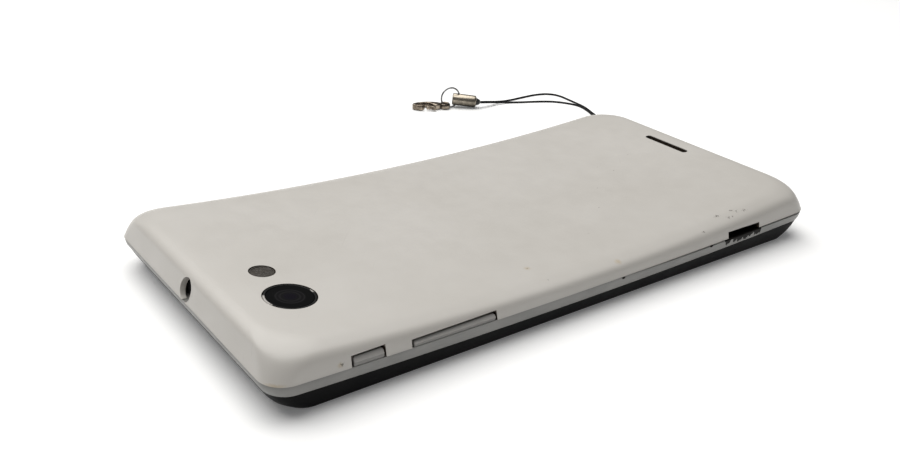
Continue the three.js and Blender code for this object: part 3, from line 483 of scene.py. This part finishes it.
def finishPiece(name, bm, material, riding, replaced=(), smooth=35):
    bmesh.ops.remove_doubles(bm, verts=bm.verts, dist=1e-7)
    bmesh.ops.recalc_face_normals(bm, faces=bm.faces)
    mesh = bpy.data.meshes.new(name)
    bm.to_mesh(mesh)
    bm.free()
    mesh.materials.append(material)
    piece = bpy.data.objects.new(name, mesh)
    scene.collection.objects.link(piece)
    shadeByAngle(mesh, smooth)
    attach(piece, riding)
    if replaced:
        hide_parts(*replaced)
    return piece


def shadeByAngle(mesh, angle):
    for face in mesh.polygons:
        face.use_smooth = True
    mesh.set_sharp_from_angle(angle=math.radians(angle))


# A face with rounded corners, in millimetres, at one height.
def roundedFace(bm, centre, size, radius, height, segments=8):
    x, y = centre
    halfX, halfY = size[0] / 2, size[1] / 2
    corners = [(x - halfX, y - halfY), (x + halfX, y - halfY), (x + halfX, y + halfY), (x - halfX, y + halfY)]
    verts = [bm.verts.new(mm(*corner, height)) for corner in corners]
    bm.faces.new(verts)
    bmesh.ops.bevel(bm, geom=verts, offset=mm(radius), offset_type="OFFSET", segments=segments, profile=0.5,
                    affect="VERTICES", material=-1)
    return max(bm.faces, key=lambda face: face.calc_area())


def roundedBlock(centre, size, radius, low, high, segments=6, edge=0.0):
    bm = bmesh.new()
    face = roundedFace(bm, centre, size, radius, low, segments)
    raiseFace(bm, face, high - low)
    if edge:
        softenRims(bm, edge)
    return bm


def raiseFace(bm, face, height):
    grown = bmesh.ops.extrude_face_region(bm, geom=[face])["geom"]
    verts = [item for item in grown if isinstance(item, bmesh.types.BMVert)]
    bmesh.ops.translate(bm, verts=verts, vec=mm(0, 0, height))
    if face.is_valid and any(len(edge.link_faces) > 2 for edge in face.edges):
        bmesh.ops.delete(bm, geom=[face], context="FACES_ONLY")
    return next(item for item in grown if isinstance(item, bmesh.types.BMFace)), verts


def softenRims(bm, width, angle=50, segments=2):
    bmesh.ops.recalc_face_normals(bm, faces=bm.faces)
    limit = math.radians(angle)
    rims = [edge for edge in bm.edges if len(edge.link_faces) == 2 and edge.calc_face_angle(0) > limit]
    bevelEdges(bm, rims, width, segments, True)


def bevelEdges(bm, edges, width, segments, clamp=False):
    bmesh.ops.bevel(bm, geom=edges, offset=mm(width), offset_type="OFFSET", segments=segments, profile=0.5,
                    affect="EDGES", clamp_overlap=clamp, material=-1)


def box(low, high, edge=0.0, segments=2):
    bm = bmesh.new()
    bmesh.ops.create_cube(bm, size=1)
    middle = [(a + b) / 2 for a, b in zip(low, high)]
    size = [b - a for a, b in zip(low, high)]
    bmesh.ops.scale(bm, vec=mm(*size), verts=bm.verts)
    bmesh.ops.translate(bm, vec=mm(*middle), verts=bm.verts)
    if edge:
        softenRims(bm, edge, segments=segments)
    return bm


def spinRound(bm, geom, steps):
    bmesh.ops.spin(bm, geom=geom, axis=(0, 0, 1), cent=(0, 0, 0), angle=2 * math.pi, steps=steps,
                   use_merge=True)
    bmesh.ops.remove_doubles(bm, verts=bm.verts, dist=1e-7)


# A turned shape: the profile's points are (radius, height), spun round an upright axis.
def turned(profile, centre, steps=64, closed=False):
    bm = bmesh.new()
    verts = [bm.verts.new(mm(radius, 0, height)) for radius, height in profile]
    pairs = list(zip(verts, verts[1:]))
    if closed:
        pairs.append((verts[-1], verts[0]))
    edges = [bm.edges.new(pair) for pair in pairs]
    spinRound(bm, verts + edges, steps)
    bmesh.ops.translate(bm, vec=mm(centre[0], centre[1], centre[2] if len(centre) > 2 else 0), verts=bm.verts)
    bmesh.ops.recalc_face_normals(bm, faces=bm.faces)
    return bm


def place(bm, matrix):
    bmesh.ops.transform(bm, matrix=matrix, verts=bm.verts)
    return bm


# Smooth points through given ones, with a few steps between each pair.
def smoothPoints(points, steps):
    points = [Vector(point) for point in points]
    result = []
    for i in range(len(points) - 1):
        before, start = points[max(i - 1, 0)], points[i]
        end, after = points[i + 1], points[min(i + 2, len(points) - 1)]
        for step in range(steps):
            t = step / steps
            square = (2 * before - 5 * start + 4 * end - after) * t * t
            cube = (3 * start - before - 3 * end + after) * t ** 3
            result.append(0.5 * ((2 * start) + (end - before) * t + square + cube))
    result.append(points[-1])
    return result


# A stack of rounded outlines, cut into cross strips and arched.
# A level is (height, side inset, end inset, corner).
def stackBody(levels, segments=10, strip=2.5, capped=True):
    bm = bmesh.new()
    face = roundedFace(bm, (0, 0), (body["width"], body["length"]), body["corner"], 0, segments)
    shiftOutline(face.verts[:], levels[0], (0, 0, 0, body["corner"]))
    for before, after in zip(levels, levels[1:]):
        face, verts = raiseFace(bm, face, 0)
        shiftOutline(verts, after, before)
    count = int(body["length"] / strip)
    for i in range(1, count):
        y = -body["length"] / 2 + i * body["length"] / count
        whole = bm.verts[:] + bm.edges[:] + bm.faces[:]
        bmesh.ops.bisect_plane(bm, geom=whole, dist=1e-7, plane_co=mm(0, y, 0), plane_no=(0, 1, 0))
    if not capped:
        lowest = levels[0][0] * unit
        bottoms = [f for f in bm.faces if all(abs(v.co.z - lowest) < 1e-7 for v in f.verts)]
        bmesh.ops.delete(bm, geom=bottoms, context="FACES")
    for vert in bm.verts:
        vert.co.z = mm(archedHeight(vert.co.z / unit, vert.co.y / unit))
    bmesh.ops.triangulate(bm, faces=[face for face in bm.faces if len(face.verts) > 4])
    bmesh.ops.recalc_face_normals(bm, faces=bm.faces)
    return bm


def shiftOutline(verts, level, before):
    for vert in verts:
        for axis, half in ((0, body["width"] / 2), (1, body["length"] / 2)):
            along = abs(vert.co[axis]) / unit - (half - before[axis + 1] - before[3])
            moved = half - level[axis + 1] - level[3] + along * level[3] / before[3]
            vert.co[axis] = math.copysign(mm(moved), vert.co[axis])
        vert.co.z = mm(level[0])


def asObject(name, bm):
    mesh = bpy.data.meshes.new(name)
    bmesh.ops.recalc_face_normals(bm, faces=bm.faces)
    bm.to_mesh(mesh)
    bm.free()
    item = bpy.data.objects.new(name, mesh)
    scene.collection.objects.link(item)
    return item


# Cuts (or joins) solids with the exact boolean and gives back one bmesh.
def carve(bm, cutters, operation="DIFFERENCE"):
    main = asObject("carved", bm)
    others = [asObject("cutter", cutter) for cutter in cutters]
    for other in others:
        step = main.modifiers.new("cut", "BOOLEAN")
        step.operation = operation
        step.solver = "EXACT"
        step.object = other
    evaluated = main.evaluated_get(bpy.context.evaluated_depsgraph_get())
    result = bmesh.new()
    result.from_mesh(evaluated.to_mesh())
    evaluated.to_mesh_clear()
    for item in [main] + others:
        mesh = item.data
        bpy.data.objects.remove(item)
        bpy.data.meshes.remove(mesh)
    return result


strap = {
    "thickness": 0.5,
    "routeA": [
        (25.75, -57.1, 5.7), (28.1, -59.7, 5.65), (30.4, -62.05, 5.4), (33.25, -65.15, 4.3),
        (37.25, -69.05, 2.8), (41.45, -72.55, 1.4), (45.35, -75.35, 0.6), (50.37, -77.62, 0.3),
        (55.0, -79.2, 0.27), (58.37, -79.61, 0.27), (62.44, -79.85, 0.27), (65.8, -79.96, 0.27),
        (68.4, -79.16, 0.27), (70.05, -77.11, 0.27), (70.73, -73.84, 0.27), (70.66, -69.59, 0.27),
        (70.4, -65.42, 0.27), (70.41, -62.32, 0.32), (70.36, -59.33, 0.62), (70.05, -56.03, 1.2),
        (69.87, -53.4, 1.62),
    ],
    "routeB": [
        (26.4, -56.5, 5.7), (28.7, -59.1, 5.65), (30.9, -61.55, 5.4), (33.75, -64.65, 4.3),
        (37.75, -68.55, 2.8), (41.95, -72.05, 1.4), (45.85, -74.85, 0.6), (50.32, -77.0, 0.3),
        (54.64, -78.37, 0.27), (57.4, -78.4, 0.27), (59.64, -77.48, 0.27), (61.66, -76.14, 0.27),
        (63.42, -74.36, 0.27), (64.82, -72.07, 0.27), (66.15, -69.1, 0.27), (67.5, -65.79, 0.27),
        (68.77, -62.9, 0.3), (69.4, -60.11, 0.52), (69.4, -56.95, 1.02), (69.28, -52.9, 1.63),
    ],
    "exitA": (30.4, -62.05, 5.4), "exitB": (30.9, -61.55, 5.4),
    "mouth": (30.6, -61.8), "post": (24.6, -55.2), "postRadius": 1.2, "hitchHeight": 5.7,
    "ferruleStart": (69.6, -52.9), "ferruleLine": 53, "ferruleTilt": 4.7,
    "ferruleLength": 7.7, "ferruleRadius": 1.65,
    "neck": 1.1, "neckTip": 0.65, "wire": 0.23, "ringRadius": 2.75, "eyeDepth": 1.8, "ringLine": 80,
    "claspLine": 66, "claspEye": 1.65, "claspThickness": 1.5, "claspHeight": 0.08,
}


def stepAlong(start, line, distance):
    turn = math.radians(line)
    return (start[0] + distance * math.cos(turn), start[1] + distance * math.sin(turn))


def tubeAlong(points, radius, sides=16):
    bm = bmesh.new()
    uv = bm.loops.layers.uv.new("braid")
    start = (points[1] - points[0]).normalized()
    across = start.cross(Vector((0, 0, 1))).normalized()
    rings, travelled, marks = [], 0.0, []
    for i, point in enumerate(points):
        ahead = points[min(i + 1, len(points) - 1)] - points[max(i - 1, 0)]
        ahead.normalize()
        across = (across - across.dot(ahead) * ahead).normalized()
        up = ahead.cross(across)
        if i:
            travelled += (point - points[i - 1]).length
        marks.append(travelled)
        ring = []
        for side in range(sides):
            turn = 2 * math.pi * side / sides
            ring.append(bm.verts.new(point + radius * (math.cos(turn) * across + math.sin(turn) * up)))
        rings.append(ring)
    pitch = 2 * math.pi / (radius * 5.0)
    for row in range(len(rings) - 1):
        for side in range(sides):
            near = (side + 1) % sides
            here, ahead = rings[row], rings[row + 1]
            face = bm.faces.new((here[side], here[near], ahead[near], ahead[side]))
            spots = ((side, row), (side + 1, row), (side + 1, row + 1), (side, row + 1))
            for loop, (column, line) in zip(face.loops, spots):
                loop[uv].uv = (column / sides, marks[line] * pitch)
    bm.faces.new(list(reversed(rings[0])))
    bm.faces.new(rings[-1])
    return bm


def makeStrap(materials):
    radius = mm(strap["thickness"] / 2)
    for letter in "AB":
        points = [point * unit for point in smoothPoints(strap["route" + letter], 8)]
        bm = tubeAlong(points, radius, 14)
        strand = finishPiece("strapStrand" + letter, bm, materials["cord"], "phone",
                             ["strap_strand_" + letter.lower()], 60)
    hitch = hitchLoop(materials)
    ferrule, ring = ferruleAndRing(materials)
    clasp, lever = claspPieces(materials)


def hitchLoop(materials):
    radius = strap["postRadius"] + strap["thickness"] / 2 + 0.1
    bm = bmesh.new()
    wire = strap["thickness"] / 2
    ringMesh(bm, radius, wire, 40, 12)
    place(bm, Matrix.Translation(mm(strap["post"][0], strap["post"][1], strap["hitchHeight"])))
    return finishPiece("strapHitch", bm, materials["cordPlain"], "phone", ["strap_hitch"], 60)


def ringMesh(bm, radius, wire, steps, sides):
    circle = bmesh.ops.create_circle(bm, cap_ends=False, radius=mm(wire), segments=sides)["verts"]
    bmesh.ops.rotate(bm, verts=circle, cent=(0, 0, 0), matrix=Matrix.Rotation(math.pi / 2, 3, "X"))
    bmesh.ops.translate(bm, verts=circle, vec=mm(radius, 0, 0))
    geom = circle + list({edge for vert in circle for edge in vert.link_edges})
    spinRound(bm, geom, steps)
    return bm


def ringCentre():
    hole = stepAlong(strap["ferruleStart"], strap["ferruleLine"], strap["ferruleLength"] - strap["eyeDepth"])
    return stepAlong(hole, strap["ringLine"], strap["ringRadius"] - 0.13)


# Sets a piece at a place in the plan and a height, turned to run along a line.
def laidAlong(start, height, line):
    return Matrix.Translation(mm(*start, height)) @ Matrix.Rotation(math.radians(line), 4, "Z")


def ferruleAndRing(materials):
    length, radius, neck = strap["ferruleLength"], strap["ferruleRadius"], strap["neck"]
    profile = [(0, neck - 0.05), (1.15, neck - 0.05), (1.3, neck), (radius - 0.12, neck + 0.16),
               (radius, neck + 0.38), (radius - 0.02, neck + 0.9), (radius, neck + 1.1),
               (radius, length - 0.34), (radius - 0.08, length - 0.12), (radius - 0.25, length),
               (0.85, length), (0.8, length - 0.1), (0.75, length - 0.8), (0, length - 0.8)]
    bm = turned(profile, (0, 0), 48)
    turn = Matrix.Rotation(math.radians(90 - strap["ferruleTilt"]), 4, "Y")
    lay = laidAlong(strap["ferruleStart"], radius + 0.02, strap["ferruleLine"])
    bm = place(bm, lay @ turn)
    centre = ringCentre()
    height = strap["ringRadius"] + strap["wire"] + 0.02
    stand = laidAlong(centre, height, strap["ringLine"]) @ Matrix.Rotation(math.pi / 2, 4, "X")
    path = place(ringMesh(bmesh.new(), strap["ringRadius"], strap["wire"] + 0.16, 48, 12), stand)
    bm = carve(bm, [path])
    ferrule = finishPiece("strapFerrule", bm, materials["ferrule"], "phone", ["strap_ferrule"], 35)
    tip = strap["neckTip"]
    cone = [(0, 0), (tip - 0.08, 0), (tip, 0.1), (1.05, neck - 0.1), (0, neck - 0.1)]
    collar = place(turned(cone, (0, 0), 32), lay @ turn)
    finishPiece("strapCollar", collar, materials["cordPlain"], "phone", (), 35)
    ring = place(ringMesh(bmesh.new(), strap["ringRadius"], strap["wire"], 72, 12), stand)
    ring = finishPiece("strapRing", ring, materials["wire"], "phone", ["strap_ring"], 60)
    return ferrule, ring


clasp = {
    "outer": (5.0, 0.0, 4.1, 1.95), "inner": (5.2, 0.0, 2.9, 1.05), "eyeRadius": 1.5, "eyeHole": 0.85,
    "lever": [(3.6, 1.15), (5.35, 1.15), (5.5, 1.75), (3.9, 1.95),
              (3.5, 2.7), (2.9, 2.6), (3.05, 1.75), (3.4, 1.7)],
}


def ellipsePoints(shape, start, end, count):
    x, y, wide, high = shape
    angles = [math.radians(start + (end - start) * i / count) for i in range(count + 1)]
    return [(x + wide * math.cos(a), y + high * math.sin(a)) for a in angles]


def flatShape(outline, thickness, edge, lift=0.0):
    bm = bmesh.new()
    verts = [bm.verts.new(mm(x, y, 0)) for x, y in outline]
    face = bm.faces.new(verts)
    raiseFace(bm, face, thickness)
    softenRims(bm, edge, 60, 3)
    bmesh.ops.translate(bm, verts=bm.verts, vec=mm(0, 0, lift))
    return bm


def claspPieces(materials):
    thick = strap["claspThickness"]
    start = stepAlong(ringCentre(), strap["ringLine"], strap["claspEye"])
    lay = laidAlong(start, strap["claspHeight"], strap["claspLine"])
    outline = ellipsePoints(clasp["outer"], -153, 65, 30) + [(5.75, 1.05)]
    outline += ellipsePoints(clasp["inner"], 52, -112, 22) + [(2.9, 1.5), (1.4, 0.85), (1.0, -0.7)]
    hook = flatShape(outline, thick, 0.28)
    rim, bore = clasp["eyeRadius"], clasp["eyeHole"]
    ringSection = [(bore, 0.2), (bore + 0.2, 0), (rim - 0.25, 0), (rim, 0.3), (rim, thick - 0.3),
                   (rim - 0.25, thick), (bore + 0.2, thick), (bore, thick - 0.2)]
    eye = turned(ringSection, (0, 0), 40, closed=True)
    bodyMesh = carve(hook, [eye], "UNION")
    hole = turned([(0, -1), (bore, -1), (bore, thick + 1), (0, thick + 1)], (0, 0), 40)
    bodyMesh = place(carve(bodyMesh, [hole]), lay)
    hook = finishPiece("claspHook", bodyMesh, materials["champagne"], "clasp", ["clasp_body"], 40)
    lever = place(flatShape(clasp["lever"], thick - 0.5, 0.16, 0.25), lay)
    lever = finishPiece("claspLever", lever, materials["champagne"], "clasp_lever", ["clasp_lever"], 40)
    return hook, lever


cover = {
    "wall": 0.8,
    "profile": [(0, 0, 0), (0.3, 0.24, 0.41), (0.6, 0.6, 0.92), (0.78, 1.35, 1.3), (0.9, 2.6, 1.95),
                (0.97, 3.7, 2.8), (1, 4.8, 3.8)],
    "camera": (-13.8, 49.5), "cameraRadius": 4.35, "windowRadius": 3.85,
    "flash": (-4.1, 49.5), "flashRadius": 2.2,
    "speaker": (3.5, -54.6), "speakerSize": (12.0, 1.6),
    "jackFront": 59.6, "jackHeight": 7.95, "jackRadius": 1.98,
    "powerKey": (42.4, 48.3, 7.5), "volumeKey": (21.2, 37.7, 6.8), "pry": (-45.2, -36.0, 1.05),
    "usb": (40.0, 7.6, 2.7), "usbLow": 4.25,
}


def coverStack(inset, drop, start, fine=3, segments=10):
    span = body["back"] - body["seam"]
    shares = smoothPoints([(share, 0, 0) for share, side, end in cover["profile"]], fine)
    insets = smoothPoints([(side, end, 0) for share, side, end in cover["profile"]], fine)
    levels = []
    for (share, _, _), (side, end, _) in zip(shares, insets):
        corner = body["corner"] + max(share, 0) ** 1.5 * (body["shoulderCorner"] - body["corner"])
        levels.append((body["seam"] + share * (span - drop), side + inset, end + inset, corner - inset))
    levels[0] = (start, inset, inset, body["corner"] - inset)
    return stackBody(levels, segments)


def strapSlot():
    post = Vector(strap["post"])
    out = (Vector(strap["mouth"]) - post).normalized()
    bm = box((-6, -1.7, -0.8), (6, 1.7, 0.8), 0.3)
    turn = Matrix.Rotation(math.atan2(out.y, out.x), 4, "Z")
    middle = (post.x + out.x * 7.5, post.y + out.y * 7.5, strap["hitchHeight"])
    return place(bm, Matrix.Translation(mm(*middle)) @ turn)


def sideCut(start, end, low, top, depth, radius=0.55, side=-1):
    edgeX = side * body["width"] / 2
    x = sorted((edgeX + side * 2, edgeX - side * depth))
    bm = box((x[0], start, low), (x[1], end, top))
    topEdges = [edge for edge in bm.edges if edge.verts[0].co.z > mm(top - 0.01)]
    inward = [edge for edge in topEdges if abs(edge.verts[0].co.x - edge.verts[1].co.x) > mm(1)]
    bevelEdges(bm, inward, radius, 5)
    return bm


def usbCut(grow, depth):
    y, wide, high = cover["usb"]
    low, reach = cover["usbLow"], wide / 2 + grow
    return sideCut(y - reach, y + reach, low - grow, low + high + grow, depth, 0.5, 1)


def jackCut():
    bm = turned([(0, -3), (cover["jackRadius"], -3), (cover["jackRadius"], 4), (0, 4)], (0, 0), 40)
    turn = Matrix.Rotation(-math.pi / 2, 4, "X")
    return place(bm, Matrix.Translation(mm(0, cover["jackFront"], cover["jackHeight"])) @ turn)


# A turned shape set square to the arched back, its heights measured from the back's surface.
def onBack(profile, centre, steps, closed=False):
    x, y = centre
    tilt = math.atan(8 * body["arch"][-1][1] * y / body["length"] ** 2)
    lay = Matrix.Translation(mm(x, y, archedHeight(body["back"], y))) @ Matrix.Rotation(tilt, 4, "X")
    return place(turned(profile, (0, 0), steps, closed), lay)


def drill(radius, reach=2):
    return [(0, -reach), (radius, -reach), (radius, reach), (0, reach)]


def makeCover(materials):
    bm = coverStack(0, 0, body["seam"] + body["seamGap"] / 2)
    inner = coverStack(cover["wall"], cover["wall"], body["seam"] - 2, 2, 8)
    pryFrom, pryTo, pryHigh = cover["pry"]
    pryTop = archedHeight(body["seam"] + 0.12, pryFrom) + pryHigh
    cameraHole = onBack(drill(cover["cameraRadius"]), cover["camera"], 72)
    flashHole = onBack(drill(cover["flashRadius"]), cover["flash"], 48)
    slot = roundedBlock(cover["speaker"], cover["speakerSize"], cover["speakerSize"][1] / 2 - 0.03, 5, 14, 8)
    cutters = [inner, cameraHole, flashHole, slot, jackCut(), usbCut(0.3, 3), strapSlot(),
               sideCut(cover["powerKey"][0], cover["powerKey"][1], 3, cover["powerKey"][2], 3, 0.6),
               sideCut(cover["volumeKey"][0], cover["volumeKey"][1], 3, cover["volumeKey"][2], 3, 0.6),
               sideCut(pryFrom, pryTo, 4, pryTop, 3, 0.15)]
    bm = carve(bm, cutters)
    return finishPiece("backCover", bm, materials["shell"], "back_cover", ["back_cover"], 32)


def frameHollow():
    return roundedBlock((0, 0), body["frameHollow"], 2.8, 3.25, 12, 6)


def makeFrame(materials):
    levels = [(body["black"] + 0.1, 0.46, 0.74, body["frontCorner"]), (3.8, 0.18, 0.3, 4.0),
              (body["seam"] - 0.28, 0.06, 0.1, body["corner"]), (body["seam"] - 0.125, 0.14, 0.2, 4.1)]
    bm = stackBody(levels, 10)
    for vert in bm.verts:
        x, y, z = vert.co / unit
        if z > archedHeight(body["seam"] - 0.2, y):
            vert.co.z += mm(0.2 * min(max((y + 20) / 25, 0), 1))
    frame = carve(bm, [frameHollow()])
    tray = roundedBlock((0, 0), body["frameTray"], 4.0, 2.75, 4.75, 6)
    well = roundedBlock((0, -11), body["batteryWell"], 0.6, 1, 6, 4)
    tray = carve(tray, [frameHollow(), well])
    frame = carve(frame, [tray], "UNION")
    posts = [turned([(0, 3.2), (1.7, 3.2), (1.7, top), (0, top)], (x, y), 28) for x, y, top in bossPlaces()]
    strapPost = [(0, 3.2), (1.2, 3.2), (1.2, 7.3), (1.5, 7.4), (1.4, 7.6), (0, 7.6)]
    posts.append(turned(strapPost, strap["post"], 28))
    frame = carve(frame, posts, "UNION")
    frame = carve(frame, [usbCut(0.3, 6), strapSlot()])
    return finishPiece("midFrame", frame, materials["grey"], "phone", ["mid_frame"], 35)


def bossPlaces():
    places = [(-21.2, 52.5), (21.2, 52.5), (-20, -45.5), (21, -45.5)]
    return [(x, y, archedHeight(body["back"] - 1.75, abs(y) - 1.7) - 0.1) for x, y in places]


def makeBezel(materials):
    steps = [(body["frontEdge"], 1.4, 4.1), (0.7, 1.22, 3.3), (1.2, 1.0, 2.4), (2.0, 0.72, 1.45),
             (body["black"], 0.5, 0.8)]
    bm = stackBody([(height, side, end, body["frontCorner"]) for height, side, end in steps], 10)
    seat = roundedBlock((0, 0), (57.6, 113.9), 3.6, -1, 0.85, 8)
    window = roundedBlock((0, 0), (54.0, 110.3), 2.5, -1, 9, 6)
    tray = roundedBlock((0, 0), (58.4, 117.3), 4.2, 2.65, 9, 6)
    bm = carve(bm, [seat, window, tray])
    finishPiece("frontBezel", bm, materials["black"], "phone", ["front_bezel"], 35)
    pane = roundedBlock((0, 0), (57.4, 113.7), 3.6, 0, 0.8, 10, 0.12)
    finishPiece("frontGlass", pane, materials["pane"], "phone", ["front_glass"], 35)


def makeKey(name, node, spanY, top, stems, materials):
    start, end = spanY[0] + 0.26, spanY[1] - 0.42
    low = archedHeight(body["seam"] + 0.05, spanY[0])
    topZ = top - 0.42
    crease = low + (topZ - low) * 0.5
    face = -body["width"] / 2 + 0.1
    outline = [(face + 0.12, low), (face + 0.02, crease), (face + 0.55, topZ), (-28.85, topZ), (-28.85, low)]
    bm = bmesh.new()
    verts = [bm.verts.new(mm(x, start, z)) for x, z in outline]
    flat = bm.faces.new(verts)
    grown = bmesh.ops.extrude_face_region(bm, geom=[flat])["geom"]
    farVerts = [item for item in grown if isinstance(item, bmesh.types.BMVert)]
    bmesh.ops.translate(bm, verts=farVerts, vec=mm(0, end - start, 0))
    for vert in bm.verts:
        if vert.co.z < mm(crease + 0.01):
            vert.co.z += mm(archedHeight(body["seam"] + 0.05, vert.co.y / unit) - low)
    topEdges = [edge for edge in bm.edges if all(vert.co.z > mm(topZ - 0.01) for vert in edge.verts)]
    corners = [edge for edge in topEdges if abs(edge.verts[0].co.y - edge.verts[1].co.y) < 1e-6]
    bevelEdges(bm, corners, 0.4, 4)
    softenRims(bm, 0.07, 20, 2)
    for y in stems:
        stem = turned([(0, 0), (0.6, 0), (0.6, 1.95), (0, 1.95)], (0, 0), 16)
        place(stem, Matrix.Translation(mm(-29.1, y, 6.0)) @ Matrix.Rotation(math.pi / 2, 4, "Y"))
        bm = carve(bm, [stem], "UNION")
    finishPiece(name, bm, materials["key"], node, [node], 30)


def makeCameraParts(materials):
    outer, inner = cover["cameraRadius"] - 0.1, cover["windowRadius"]
    rim = [(outer, -1.25), (outer, -0.1), (outer - 0.08, -0.02),
           (inner + 0.08, -0.02), (inner, -0.1), (inner, -1.25)]
    ring = onBack(rim, cover["camera"], 96, True)
    finishPiece("cameraRing", ring, materials["ring"], "phone", ["camera_ring"], 25)
    edge = inner - 0.06
    glass = [(0, -0.76), (edge, -0.76), (edge, -0.14), (edge - 0.08, -0.06), (0, -0.06)]
    pane = onBack(glass, cover["camera"], 96)
    finishPiece("cameraWindow", pane, materials["lens"], "phone", ["camera_window"], 30)
    low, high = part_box("camera_lens")
    top, bottom = high.z / unit, low.z / unit
    lens = [(0, bottom), (3.1, bottom), (3.1, top - 0.15), (2.95, top), (2.5, top), (2.2, top - 0.4),
            (1.9, top - 0.45), (1.6, top - 0.35), (0.9, top - 0.18), (0, top - 0.12)]
    barrel = turned(lens, cover["camera"], 72)
    finishPiece("cameraLens", barrel, materials["black"], "camera_lens", ["camera_lens"], 30)
    edge = cover["flashRadius"] - 0.1
    diffuser = [(0, -1.25), (edge, -1.25), (edge, -0.15), (edge - 0.1, -0.05), (edge - 0.25, -0.05),
                (edge - 0.35, -0.16), (0, -0.16)]
    pane = onBack(diffuser, cover["flash"], 56)
    finishPiece("flashWindow", pane, materials["smoked"], "phone", ["flash_window"], 30)


def makeSpeakerMesh(materials):
    low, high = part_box("speaker_mesh")
    low, high = low / unit, high / unit
    centre = ((low.x + high.x) / 2, (low.y + high.y) / 2)
    bm = roundedBlock(centre, (high.x - low.x, high.y - low.y), 1.2, low.z, high.z, 6, 0.05)
    finishPiece("speakerMesh", bm, materials["mesh"], "back_cover", ["speaker_mesh"], 35)


def makeMaterials():
    return {
        "shell": shellMaterial(),
        "grey": greyMaterial(),
        "black": plasticMaterial("blackFront", (0.004, 0.004, 0.004), (0.0025, 0.0025, 0.003), 0.45, 8000,
                                 shine=0.06),
        "key": keyMaterial(),
        "dark": plasticMaterial("darkInner", (0.035, 0.035, 0.037), (0.022, 0.022, 0.024), 0.55, 4000,
                                0.00003),
        "cardWhite": plasticMaterial("cardPlastic", (0.72, 0.72, 0.70), (0.66, 0.66, 0.64), 0.42, 5000),
        "amber": plasticMaterial("amberFlex", (0.36, 0.17, 0.035), (0.27, 0.12, 0.02), 0.3, 3000),
        "pane": glassMaterial("frontPane", (0.004, 0.004, 0.005)),
        "lens": lensMaterial(cover["camera"]),
        "smoked": smokedMaterial(),
        "mesh": meshMaterial(),
        "cord": cordMaterial(),
        "cordPlain": plasticMaterial("blackCordEnd", (0.014, 0.014, 0.015), (0.006, 0.006, 0.006), 0.6, 6000,
                                     0.00004),
        "champagne": metalMaterial("champagneMetal", (0.34, 0.29, 0.23), (0.14, 0.115, 0.09), 0.30),
        "ferrule": ferruleMaterial(),
        "wire": metalMaterial("wireSteel", (0.26, 0.26, 0.265), (0.13, 0.13, 0.135), 0.34),
        "steel": metalMaterial("brightSteel", (0.62, 0.62, 0.61), (0.50, 0.50, 0.50), 0.30),
        "darkSteel": metalMaterial("darkSteel", (0.16, 0.16, 0.17), (0.09, 0.09, 0.10), 0.35),
        "ring": ringMaterial(),
        "gold": metalMaterial("goldContact", (0.80, 0.58, 0.24), (0.65, 0.45, 0.18), 0.25),
        "board": boardMaterial(),
        "wrap": wrapMaterial(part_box("battery")),
    }


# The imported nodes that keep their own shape, and the finish each one gets.
carried = {
    "steel": ["chassis_plate", "shield_can_lower", "shield_can_upper", "sim_socket", "memory_socket",
              "usb_socket", "vibration_motor", "power_switch", "volume_down_switch", "volume_up_switch",
              "receiver"],
    "darkSteel": ["vibration_weight", "cover_screw_1", "cover_screw_2", "cover_screw_3", "cover_screw_4",
                  "board_screw_1", "board_screw_2"],
    "dark": ["display_module", "front_camera", "proximity_sensor", "memory_card", "headphone_jack",
             "camera_body", "loudspeaker", "upper_inner_cover", "lower_inner_cover"],
    "smoked": ["notification_light"],
    "cardWhite": ["sim_card"],
    "amber": ["board_link_flex", "antenna", "key_flex"],
    "gold": ["battery_connector", "flash_led", "microphone"],
    "board": ["main_board", "sub_board"],
    "wrap": ["battery"],
}


def dressCarried(materials):
    for finish, names in carried.items():
        for name in names:
            node = frame["nodes"][name]
            node.data.materials.clear()
            node.data.materials.append(materials[finish])


makeCamera()
print("camera placed")
materials = makeMaterials()
makeStrap(materials)
print("strap laid")
makeStudio()
makeCover(materials)
print("cover made")
makeFrame(materials)
makeBezel(materials)
print("frame and front made")
powerStem = (cover["powerKey"][0] + cover["powerKey"][1]) / 2
makeKey("powerKey", "power_key", cover["powerKey"][:2], cover["powerKey"][2], [powerStem], materials)
volumeStems = [cover["volumeKey"][0] + 3.4, cover["volumeKey"][1] - 3.4]
makeKey("volumeKey", "volume_key", cover["volumeKey"][:2], cover["volumeKey"][2], volumeStems, materials)
makeCameraParts(materials)
makeSpeakerMesh(materials)
print("keys, camera and speaker made")
dressCarried(materials)
